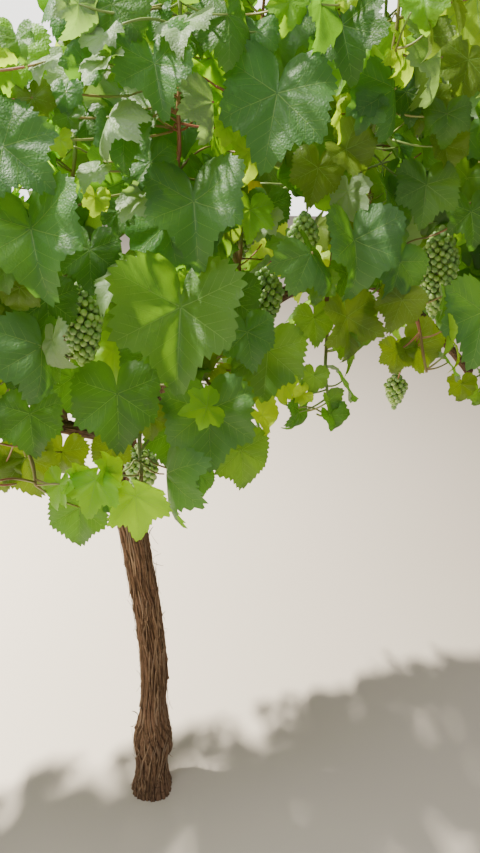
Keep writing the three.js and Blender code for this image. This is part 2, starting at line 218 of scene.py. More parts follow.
def copies(points, faceSets):
    # copies (N, P, 3) of one mesh with its faces, as one
    shift = (np.arange(len(points)) * points.shape[1])[:, None, None]
    return points.reshape(-1, 3), [(faces + shift).reshape(-1, faces.shape[1]) for faces in faceSets]


def closedTubes(rings, paths):
    # rings (N, S, K, 3) round paths (N, S, 3), joined into N closed tubes
    count, steps, sides = rings.shape[:3]
    points = np.concatenate([rings.reshape(count, -1, 3), paths[:, :1], paths[:, -1:]], 1)
    return copies(points, [gridFaces(steps, sides, True), endCaps(steps, sides)])


def tubes(paths, radii, sides):
    # each point of a path gets a ring of that radius, or with a radius for each of its sides
    across, other = sidesOf(paths)
    turn = np.linspace(0, 2 * math.pi, sides, endpoint=False)[:, None]
    ring = np.cos(turn) * across[:, :, None] + np.sin(turn) * other[:, :, None]
    return closedTubes(paths[:, :, None] + ring * radii.reshape(*paths.shape[:2], -1, 1), paths)


def ribbons(paths, outward, widths, thickness):
    # flat tubes with four sides: a point out, one to the side, one in and one to the other side
    tangent = unit(np.gradient(paths, axis=1))
    out = unit(outward - (outward * tangent).sum(-1, keepdims=True) * tangent)
    side = np.cross(tangent, out) * widths[..., None] / 2
    out = out * thickness / 2
    return closedTubes(paths[:, :, None] + np.stack([out, side, -out, -side], 2), paths)


def joined(parts):
    # several (points, [quads, triangles]) as one
    points, quads, triangles, base = [], [], [], 0
    for p, (q, t) in parts:
        points.append(p)
        quads.append(q + base)
        triangles.append(t + base)
        base += len(p)
    return np.concatenate(points), [np.concatenate(quads), np.concatenate(triangles)]


# Limbs, as in the part's source. A swelling has its size, its height and its spread
trunkShape = {
    "bow": 0.022,
    "bowTop": 0.71,
    "bowSkew": 1.2,
    "sway": 0.008,
    "swayLength": 0.26,
    "taper": 0.003,
    "footFlare": 0.017,
    "flareHeight": 0.06,
    "graftUnion": (0.013, 0.15, 0.055),
    "headKnob": (0.008, vine["headHeight"] - 0.035, 0.048),
}


def swelling(x, size, place, spread):
    return size * bell(x, place, spread)


def trunkCentre(z):
    # bows to the right below bowTop and to the left above it, with a slight sway across the row
    shape, z = trunkShape, np.asarray(z, float)
    x = shape["bow"] * np.sin(math.pi * (np.maximum(z, 0) / shape["bowTop"]) ** shape["bowSkew"])
    return np.stack([x, shape["sway"] * np.sin(z / shape["swayLength"]), z], -1)


def trunkRadiusAt(z):
    # a slight taper, a flare that fades up from the foot, and swellings at the graft union and the head
    taper = trunkShape["taper"] * (1 - z / vine["headHeight"])
    flare = trunkShape["footFlare"] * np.exp(-z / trunkShape["flareHeight"])
    graft, knob = (swelling(z, *trunkShape[key]) for key in ("graftUnion", "headKnob"))
    return vine["trunkRadius"] + taper + flare + graft + knob


def armPoint(arm, s):
    # along the row, with a lift, a sine arch that tops past the middle and a sway across
    root = trunkCentre(vine["armRoot"])
    s = np.asarray(s, float)
    arch = np.sin(math.pi * np.maximum(s, 1e-6) ** arm["skew"])
    return np.stack([
        root[0] + arm["side"] * vine["armReach"] * s,
        root[1] + arm["sway"] * np.sin(2 * math.pi * s),
        vine["armRoot"] + vine["armLift"] * s + arm["rise"] * arch,
    ], -1)


def armRadiusAt(s):
    return mix(vine["armRootRadius"], vine["armTipRadius"], s)


def spurSites():
    # a spur in each equal stretch of an arm, leaning to the front and to the back by turns
    sites = []
    for arm in arms:
        for i in range(vine["spursPerArm"]):
            s = (i + 0.55) / vine["spursPerArm"]
            leansForward = i % 2 == 0 if arm["side"] > 0 else i % 2 == 1
            face = -1 if leansForward else 1
            root = armPoint(arm, s)
            lean = unit(np.array([arm["side"] * 0.12, face * 0.5, 1.0]))
            sites.append({"arm": arm, "number": i + 1, "face": face, "root": root, "lean": lean,
                          "tip": root + lean * vine["spurLength"]})
    return sites


# Crown outline and the cell of each mass, as in the part's source. A wave has its size and its lengths
crown = {
    "fall": 0.11,
    "topDips": [(0.23, -0.15, 0.09), (0.06, 0.42, 0.06)],
    "floorRises": [(-0.1, 0, 0.2), (0.06, 0.44, 0.09)],
    "sideWave": (0.022, 0.095, 0.13),
    "middleWave": (0.01, 0.12),
    "interlock": (0.042, 0.055, 0.2),
}


def topAt(x):
    # level in the middle, falling with the fourth power of x, less two dips
    dips = sum(swelling(x, *dip) for dip in crown["topDips"])
    return vine["crownTop"] - dips - crown["fall"] * (x / vine["crownHalfWidth"]) ** 4


def floorAt(x):
    # level, but lower round the trunk and higher at one place on the right
    return sum((swelling(x, *rise) for rise in crown["floorRises"]), vine["crownFloor"])


def inCell(cell, p):
    # whether every point lies between the cell's wavy borders and inside the crown's outline. The border
    # between front and back waves along the row too, so that the leaves of both sides interlock
    x, y, z = p[..., 0], p[..., 1], p[..., 2]
    wave, upward, along = crown["sideWave"]
    low, high = (cell[end] + wave * np.sin(z / upward + cell[end] / along) for end in ("low", "high"))
    (wave, upward), (lock, along, rising) = crown["middleWave"], crown["interlock"]
    middle = wave * np.sin(z / upward) + lock * np.sin(x / along + z / rising)
    depth, gap = cell["face"] * y, vine["cellGap"]
    inRow = (x > low + gap) & (x < high - gap) & (x > cadBox[0][0]) & (x < cadBox[1][0])
    inDepth = (depth > cell["face"] * middle + gap) & (depth < vine["crownHalfDepth"])
    inBox = (y > cadBox[0][1]) & (y < cadBox[1][1] - vine["backRoom"])
    inHeight = (z < np.minimum(topAt(x), cadBox[1][2])) & (z > floorAt(x))
    return bool(np.all(inRow & inDepth & inBox & inHeight))


def cellsFor(sites, face):
    # one cell for each spur of that face, up to halfway to its neighbours or to the crown's end
    row = sorted((s for s in sites if s["face"] == face), key=lambda s: s["root"][0])
    side = "front" if face < 0 else "back"
    firstSeed = {"front": 10, "back": 40}[side]
    cells = []
    for i, site in enumerate(row):
        x = site["root"][0]
        first, last = i == 0, i == len(row) - 1
        cells.append({
            "site": site, "face": face, "seed": firstSeed + i, "name": f"foliage_{side}_{i + 1}",
            "low": -vine["crownHalfWidth"] if first else (row[i - 1]["root"][0] + x) / 2,
            "high": vine["crownHalfWidth"] if last else (row[i + 1]["root"][0] + x) / 2,
            "outward": unit(np.array([-0.45 if first else 0.45 if last else 0, face, 0.0])),
            "fork": site["tip"] + site["lean"] * 0.045,
        })
    return cells


def bezier(a, b, c, d, count=60):
    # cubic curve through its four control points' blend
    t = np.linspace(0, 1, count)[:, None]
    return (1 - t) ** 3 * a + 3 * (1 - t) ** 2 * t * b + 3 * (1 - t) * t * t * c + t**3 * d


def shootTo(cell, x, depth, height, random):
    # a curve from the fork that bulges out on its way up to its end
    fork, face = cell["fork"], cell["face"]
    low = np.array([mix(fork[0], x, 0.5), fork[1] + face * random(0.02, 0.045), mix(fork[2], height, 0.25)])
    high = np.array([x + random(-0.015, 0.015), face * (depth + 0.045), mix(fork[2], height, 0.6)])
    end = np.array([x + random(-0.025, 0.025), face * depth, height])
    return {"kind": "upright", "path": alongPath(bezier(fork, low, high, end), 40)}


def hangingShoot(cell, x, random):
    # a curve out over the arm and down to just above the crown's floor
    fork, face = cell["fork"], cell["face"]
    low = floorAt(x) + random(0.075, 0.105)
    out = np.array([mix(fork[0], x, 0.3), fork[1] + face * 0.07, fork[2] + 0.03])
    fall = np.array([x, face * random(0.155, 0.185), mix(fork[2], low, 0.2)])
    end = np.array([x, face * random(*vine["hangingDepth"]), low])
    return {"kind": "hanging", "path": alongPath(bezier(fork, out, fall, end), 40)}


def shootsOf(cell, random):
    # tall canes side by side, a shorter one that leans out, and two that hang
    width = cell["high"] - cell["low"]

    def acrossCell(count):
        return [cell["low"] + (i + 0.5 + random(-0.08, 0.08)) * width / count for i in range(count)]

    shoots = []
    for x in acrossCell(round(width / 0.155)):
        depth = random(*vine["tallDepth"])
        height = topAt(x) - random(0.045, 0.09)
        shoots.append(shootTo(cell, x, depth, height, random))
    middle = (cell["low"] + cell["high"]) / 2
    depth = random(*vine["leaningDepth"])
    shoots.append(shootTo(cell, middle, depth, mix(cell["fork"][2], topAt(middle), 0.72), random))
    for x in acrossCell(2):
        shoots.append(hangingShoot(cell, x, random))
    return shoots


# Leaf blades. A blade's own frame: width 1, stalk at the origin, tip along -v, face along n

blade = {
    "angles": [0, 12, 26, 38, 53, 66, 80, 95, 110, 128, 145, 160, 171, 178, 180],  # degrees from the tip
    "reach": [0.71, 0.60, 0.505, 0.51, 0.575, 0.53, 0.48, 0.50, 0.53, 0.50, 0.46, 0.40, 0.30, 0.12, 0.05],
    "lobeStep": 54,
    "lobes": 0.05,
    "skew": 0.06,
    "cup": 0.28,
    "trough": 0.024,
    "troughStep": 54.5,
    "wave": 0.045,
    "pucker": 0.006,
    "toothDepth": 0.042,
    "veinAngles": [-110, -53, 0, 53, 110],
    "veinWidths": (0.0098, 0.0022),
    "sideVeinTurn": 44,
    "sideVeinWidths": (0.0036, 0.0011),
    "veinLift": 0.0022,
}


def bladeReach(angle, shape):
    # distance from the stalk to the smooth edge. shape pulls the lobes out or in and makes one half larger
    degrees = np.abs(np.degrees(angle))
    reach = np.interp(degrees, blade["angles"], blade["reach"])
    lobes = np.cos(np.radians(degrees) * 360 / blade["lobeStep"]) * np.clip((150 - degrees) / 60, 0, 1)
    halves = 1 + blade["skew"] * shape["skew"] * np.sin(angle)
    return reach * (1 + blade["lobes"] * shape["lobed"] * lobes) * halves


def direction(degrees):
    # from the stalk, so many degrees from the tip
    return np.array([math.sin(math.radians(degrees)), -math.cos(math.radians(degrees))])


def bladePoints(u, v, shape):
    # a shallow dome, folded along its middle vein, with troughs along the side veins, a wavy edge and fine
    # puckers. Each bend then curls what lies past a line across the blade round a circle, with no stretch
    r = np.hypot(u, v)
    angle, phase = np.arctan2(u, -v), shape["phase"]
    dome = -blade["cup"] * shape["cup"] * r**2
    fold = -shape["fold"] * np.sqrt(u * u + 0.002)
    trough = -blade["trough"] * np.cos(angle * 360 / blade["troughStep"]) * np.clip(r / 0.5, 0, 1)
    wave = blade["wave"] * shape["wave"] * np.sin(angle * 5 + phase) * (2 * r) ** 3
    pucker = blade["pucker"] * np.sin(u * 34 + phase) * np.sin(v * 31 - phase) * np.clip(r * 4, 0, 1)
    n = dome + fold + trough + wave + pucker
    u2, v2 = u + 0, v + 0
    for degrees, start, curve in shape["bends"]:
        along = direction(degrees)
        past = np.maximum(u * along[0] + v * along[1] - start, 0)
        shift = np.sin(curve * past) / curve - past
        u2, v2 = u2 + along[0] * shift, v2 + along[1] * shift
        n = n - (1 - np.cos(curve * past)) / curve
    return np.stack([u2, v2, n], -1)


def bladeVeins(shape, sideVeins):
    # the main veins from the stalk, each with side veins to both sides: start, end and two widths
    starts, ends, widths = [], [], []
    for degrees in blade["veinAngles"]:
        along = direction(degrees)
        length = bladeReach(np.radians([degrees]), shape)[0] * 0.94
        starts.append(along * 0.012)
        ends.append(along * length)
        widths.append(blade["veinWidths"])
        for share in 0.2 + 0.72 * (np.arange(sideVeins) + 0.5) / max(sideVeins, 1):
            for turn in (-blade["sideVeinTurn"], blade["sideVeinTurn"]):
                reach = (0.28 * (1 - share) + 0.08) * (1.15 if degrees == 0 else 0.85)
                starts.append(along * length * share)
                ends.append(along * length * share + direction(degrees + turn) * reach)
                widths.append(blade["sideVeinWidths"])
    return np.array(starts), np.array(ends), np.array(widths)


def onFacets(uv, grid, rings, shape):
    # places on the blade's own facets: between the two nearest rings and the outline's two nearest points
    angle = np.arctan2(uv[..., 0], -uv[..., 1])
    share = np.clip(np.linalg.norm(uv, axis=-1) / bladeReach(angle, shape), 0, 0.999)
    count = grid.shape[1]
    place = (angle + math.pi) / (2 * math.pi) * count - 0.5
    k = np.floor(place).astype(int)
    aside = (place - k)[..., None]
    row = np.interp(share, [0, *rings], np.arange(len(rings) + 1))
    i = np.minimum(row.astype(int), len(rings) - 1)
    inner = mix(grid[i, k % count], grid[i, (k + 1) % count], aside)
    outer = mix(grid[i + 1, k % count], grid[i + 1, (k + 1) % count], aside)
    return mix(inner, outer, (row - i)[..., None])


def bladeTemplate(shape, outlinePoints, rings, sideVeins):
    # rings of points at shares of the reach, the last with teeth that lean to the tip, three points to each,
    # closed round the stalk, and vein strips on top
    angle = -math.pi + (np.arange(outlinePoints) + 0.5) * 2 * math.pi / outlinePoints
    reach = bladeReach(angle, shape)
    third = np.arange(outlinePoints) % 3
    tooth = np.where(angle > 0, np.array([-1.0, 1.0, 0.1])[third], np.array([-1.0, 0.1, 1.0])[third])
    uneven = 0.5 + latticeNoise(angle * 9, angle * 0 + shape["phase"], 3)
    depth = blade["toothDepth"] * uneven * np.clip((168 - np.abs(np.degrees(angle))) / 30, 0, 1)
    edges = np.array([reach * share * (1 + depth * tooth * (share == 1)) for share in [0, *rings]])
    grid = bladePoints(np.sin(angle) * edges, -np.cos(angle) * edges, shape)
    k = np.arange(outlinePoints)
    triangles = np.stack([np.zeros_like(k), 1 + k, 1 + (k + 1) % outlinePoints], 1)
    quads = gridFaces(len(rings), outlinePoints, True)[:, ::-1] + 1
    starts, ends, widths = bladeVeins(shape, sideVeins)
    steps = 8 if sideVeins else 3
    t = np.linspace(0, 1, steps)[None, :, None]
    centre = mix(starts[:, None], ends[:, None], t)
    along = unit(ends - starts)[:, None]
    width = mix(widths[:, None, :1], widths[:, None, 1:], t)
    square = np.stack([-along[..., 1], along[..., 0]], -1) * width / 2
    strips = onFacets(np.stack([centre - square, centre + square], 2), grid, rings, shape)
    strips = strips.reshape(len(starts), -1, 3) + [0, 0, blade["veinLift"]]
    veins, (veinQuads,) = copies(strips, [gridFaces(steps, 2, False)[:, ::-1]])
    points = np.concatenate([grid[:1, 0], grid[1:].reshape(-1, 3)])
    return {
        "points": np.concatenate([points, veins]),
        "faces": [np.concatenate([quads, veinQuads + len(points)]), triangles],
        "isVein": np.arange(len(quads) + len(veinQuads)) >= len(quads),
    }


def bladeShapes(count, seed):
    # forms drawn at random; the last of each form's three bends turns forwards
    shapes = []
    for i in range(count):
        random = seededRandom(seed + i)
        shape = {"lobed": random(-0.6, 1.6), "skew": random(-1, 1), "cup": random(0.1, 1.0),
                 "fold": random(-0.8, 0.3), "wave": random(0.2, 1), "phase": random(0, 6)}
        shape["bends"] = [(random(-150, 150), random(0.16, 0.32), random(1.5, 5.5) * (-1 if k == 2 else 1))
                          for k in range(3)]
        shapes.append(shape)
    return shapes


# Forms of the leaves that stand out. A bend has its direction from the tip in degrees, where it starts, and
# how tightly it turns, backwards or, below nought, forwards
formColumns = ("lobed", "skew", "cup", "fold", "wave", "phase", "bends")
formRows = {
    "open": (0.5, 0.3, 0.35, -0.3, 0.6, 1.0, [(-70, 0.33, 3.0), (100, 0.3, 2.2), (5, 0.42, 3.0)]),
    "book": (0.7, -0.2, 0.1, -0.78, 0.5, 3.0, [(-150, 0.3, -2.6), (60, 0.36, 5.0), (0, 0.4, 2.0)]),
    "broad": (-0.2, -0.4, 0.7, -0.2, 0.7, 4.2, [(55, 0.3, 3.2), (-120, 0.28, 3.0), (-20, 0.4, 2.4)]),
    "lobed": (1.6, 0.5, 0.5, -0.36, 0.6, 2.4, [(-60, 0.26, 2.6), (62, 0.3, -2.2), (0, 0.36, 3.4)]),
    "folded": (0.8, -0.6, 0.2, 0.62, 0.5, 0.3, [(0, 0.3, 2.4), (100, 0.2, 3.0), (-70, 0.34, 3.0)]),
    "trough": (0.4, 0.6, 0.1, -0.72, 0.8, 5.1, [(0, 0.25, 2.8), (-100, 0.24, 3.5), (80, 0.32, 4.5)]),
    "drooped": (0.6, -0.2, 0.6, -0.25, 0.7, 3.3, [(10, 0.12, 3.4), (-85, 0.22, 4.2), (85, 0.25, 3.4)]),
    "curled": (0.7, 0.4, 0.3, -0.2, 0.9, 1.7, [(-125, 0.2, -7.5), (75, 0.24, 4.0), (20, 0.38, 3.5)]),
    "crisp": (1.9, 0.1, 0.15, -0.25, 0.35, 2.0, [(0, 0.42, 2.5), (-120, 0.34, 3.0), (120, 0.40, 2.0)]),
    "cuffed": (1.5, 0.1, 0.15, -0.28, 0.35, 2.0, [(0, 0.42, 2.5), (-150, 0.06, 5.5), (150, 0.06, 5.5)]),
    "young": (1.3, 0.2, 0.5, -0.45, 1.0, 0.9, [(0, 0.3, 3.5), (70, 0.28, 4.0), (-70, 0.3, 2.0)]),
}
bladeForms = {name: dict(zip(formColumns, row)) for name, row in formRows.items()}


# Leaves: tests that keep them apart

leafTest = {
    "outline": np.array([[0, -0.7], [0.47, -0.2], [0.34, 0.33], [-0.34, 0.33], [-0.47, -0.2]]),
    "drop": np.array([0.1, 0.09, 0.02, 0.02, 0.09]),
}


def leafCorners(leaf):
    # five corners round the blade, each a little behind its plane as the blade is cupped
    u, v = leafTest["outline"][:, :1], leafTest["outline"][:, 1:]
    flat = u * leaf["across"] + v * leaf["up"] - leafTest["drop"][:, None] * leaf["normal"]
    return leaf["at"] + flat * leaf["span"]


def leafShape(leaf):
    # what stands for a leaf in the tests: edges, spokes and stalk as lines, and five triangles
    ring = leafCorners(leaf)
    after = np.roll(ring, -1, axis=0)
    at = np.broadcast_to(leaf["at"], ring.shape)
    stalk = np.stack([leaf["node"], mix(leaf["at"], leaf["node"], 0.1)])[None]
    segments = np.concatenate([np.stack([ring, after], 1), np.stack([at, ring], 1), stalk])
    return segments, np.stack([at, ring, after], 1)


def crosses(segments, triangles):
    # whether any segment passes through any triangle, by solving for where each line meets each plane
    start = segments[:, None, 0]
    along = segments[:, None, 1] - start
    a, b, c = triangles[None, :, 0], triangles[None, :, 1], triangles[None, :, 2]
    e1, e2 = b - a, c - a
    h = np.cross(along, e2)
    det = (e1 * h).sum(-1)
    inverse = 1 / np.where(np.abs(det) < 1e-12, 1e-12, det)
    s = start - a
    u = (s * h).sum(-1) * inverse
    q = np.cross(s, e1)
    v = (along * q).sum(-1) * inverse
    t = (e2 * q).sum(-1) * inverse
    return bool(np.any((u >= 0) & (v >= 0) & (u + v <= 1) & (t > 0) & (t < 1) & (np.abs(det) > 1e-12)))


def crossesOthers(leaf, cell):
    # whether it crosses a shoot or one of the leaves near by in the cell
    segments, triangles = leafShape(leaf)
    if crosses(cell["twigs"], triangles):
        return True
    if not cell["count"]:
        return False
    placed = slice(0, cell["count"])
    near = np.linalg.norm(cell["at"][placed] - leaf["at"], axis=1) < (leaf["span"] + vine["leafSpan"] * 1.2)
    if not near.any():
        return False
    otherSegments = cell["segments"][placed][near].reshape(-1, 2, 3)
    otherTriangles = cell["triangles"][placed][near].reshape(-1, 3, 3)
    return crosses(segments, otherTriangles) or crosses(otherSegments, triangles)


def touchesLimb(leaf, cell):
    # whether wood or fruit, as balls, comes into the blade's flat box or near its stalk
    offset = cell["wood"][:, :3] - leaf["at"]
    radius = cell["wood"][:, 3]
    u, v = offset @ leaf["across"], offset @ leaf["up"]
    n = np.abs(offset @ leaf["normal"] + 0.05 * leaf["span"])
    span = leaf["span"]
    flat = (np.abs(u) < 0.5 * span + radius) & (v > -0.68 * span - radius) & (v < 0.38 * span + radius)
    if np.any(flat & (n < radius + 0.04 * span)):
        return True
    stalk = leaf["at"] - leaf["node"]
    share = np.clip((cell["wood"][:, :3] - leaf["node"]) @ stalk / (stalk @ stalk), 0, 1)
    gap = np.linalg.norm(leaf["node"] + share[:, None] * stalk - cell["wood"][:, :3], axis=1)
    return bool(np.any(gap < radius + 0.004))


def leafFrom(node, cell, size, turn, random):
    # one leaf on a stalk from a node. turn is the angle from the outward direction
    aim = turned(cell["outward"], turn)
    stalk = unit(aim + vertical * random(-0.2, 0.8))
    length = vine["stalkLength"] * random(0.6, 1.2) * (0.5 + 0.5 * size)
    facing = turned(cell["outward"], turn * 0.6 + random(-0.35, 0.35))
    normal = unit(facing + vertical * random(0.05, 1))
    hang = np.array([random(-0.5, 0.5), random(-0.2, 0.2), -1.0]) + aim * 0.25
    tip = unit(hang - normal * (hang @ normal))
    return {"node": node, "at": node + stalk * length, "stalk": stalk, "normal": normal, "up": -tip,
            "across": np.cross(-tip, normal), "span": vine["leafSpan"] * size}


def keepLeaf(leaf, cell):
    # adds the leaf to the cell's list and to its arrays for the tests
    segments, triangles = leafShape(leaf)
    k = cell["count"]
    cell["at"][k], cell["segments"][k], cell["triangles"][k] = leaf["at"], segments, triangles
    cell["count"] = k + 1
    cell["leaves"].append(leaf)


def placeLeaf(node, cell, size, turn, random, tries=16):
    # the first try that has its stalk behind the blade, stays in the cell and keeps clear of what is there
    # and of the sight lines. Each try is a little smaller
    for i in range(tries):
        shrink = 1 - 0.02 * i
        side = -1 if i % 2 else 1
        leaf = leafFrom(node, cell, size * shrink, turn * random(0.4, 1.3) * side, random)
        if leaf["stalk"] @ leaf["normal"] < 0.2 or not inCell(cell, leafCorners(leaf)):
            continue
        hides = len(cell["sights"]) and crosses(cell["sights"], leafShape(leaf)[1])
        if not hides and not touchesLimb(leaf, cell) and not crossesOthers(leaf, cell):
            keepLeaf(leaf, cell)
            return leaf
    return None


# Balls that stand for the wood in the tests: centre and radius
limbSamples = []
for z in np.arange(0, vine["headHeight"], 0.012):
    limbSamples.append([*trunkCentre(z), trunkRadiusAt(z) * 1.09])
for arm in arms:
    for s in np.arange(0, 1, 0.012):
        limbSamples.append([*armPoint(arm, s), armRadiusAt(s) * 1.1])
sites = spurSites()
for site in sites:
    for t in np.linspace(0, 1, 6):
        limbSamples.append([*mix(site["root"], site["tip"], t), 0.011])
limbSamples = np.array(limbSamples)

# Bunches that show from the front, as in the part's source; a mass at the back has two low on its tall canes
frontBunches = [
    {"x": -0.072, "y": -0.15, "middle": 1.148, "length": 0.14, "width": 0.066},
    {"x": 0.008, "y": -0.1, "middle": 0.885, "length": 0.105, "width": 0.066},
    {"x": 0.221, "y": -0.12, "middle": 1.163, "length": 0.112, "width": 0.06},
    {"x": 0.28, "y": -0.125, "middle": 1.252, "length": 0.096, "width": 0.052},
    {"x": 0.54, "y": -0.12, "middle": 1.185, "length": 0.165, "width": 0.074},
    {"x": 0.513, "y": -0.07, "middle": 0.955, "length": 0.08, "width": 0.048},
]


def sourcePoint(shoot, t):
    # a point on the four straight stretches that the source makes a shoot from
    return pointAt(alongPath(shoot["path"], 5), t)


def bunchesOf(cell, shoots):
    # each bunch's place on a shoot, its top, its length and its width
    bunches = []
    if cell["face"] < 0:
        spots = np.array([sourcePoint(shoot, (i + 1) / 20) for shoot in shoots for i in range(19)])
        for b in frontBunches:
            if cell["low"] < b["x"] < cell["high"]:
                top = np.array([b["x"], b["y"], b["middle"] + b["length"] / 2])
                gaps = np.linalg.norm(spots - top - vertical * 0.025, axis=1)
                bunches.append({**b, "node": spots[np.argmin(gaps)], "top": top})
        return bunches
    for i, shoot in enumerate(shoots[:2]):
        random = seededRandom(cell["seed"] * 1000 + 900 + i)
        node = sourcePoint(shoot, random(0.16, 0.3))
        length = vine["bunchLength"] * random(0.85, 1.15)
        top = node + np.array([random(-0.012, 0.012), cell["face"] * random(0.034, 0.048), -0.022])
        bunches.append({"node": node, "top": top, "length": length, "width": 0.55 * length})
    return bunches


# Camera at the photo's viewing angle: place in metres, pitch down and turn to the right in degrees, and focal
# length and image size in pixels
view = {"place": (-0.158, -1.072, 1.386), "pitch": 23.4, "turn": 19.4, "focal": 644.0,
        "image": (480.0, 853.0)}

# Round lights: place, target and size in metres, power in watts
lights = {
    "keyAbove": {"place": (-2.2, 0.9, 4.8), "target": (0.1, -0.1, 1.3), "size": 0.3, "power": 3200,
                 "colour": (1.0, 0.95, 0.84)},
    "fillFront": {"place": (0.9, -3.2, 2.6), "target": (0.1, 0, 1.0), "size": 3.0, "power": 60,
                  "colour": (1.0, 0.98, 0.94)},
    "skyAbove": {"place": (-1.2, -0.9, 3.8), "target": (0, 0, 1.1), "size": 1.6, "power": 140,
                 "colour": (0.96, 0.98, 1.0)},
}


def viewAxes():
    # forward, right and down in the picture
    pitch, turn = math.radians(view["pitch"]), math.radians(view["turn"])
    level = np.array([math.sin(turn), math.cos(turn), 0.0])
    forward = level * math.cos(pitch) - vertical * math.sin(pitch)
    down = -level * math.sin(pitch) - vertical * math.cos(pitch)
    return forward, np.array([math.cos(turn), -math.sin(turn), 0.0]), down


lookForward, lookRight, lookDown = viewAxes()
eye = np.array(view["place"])

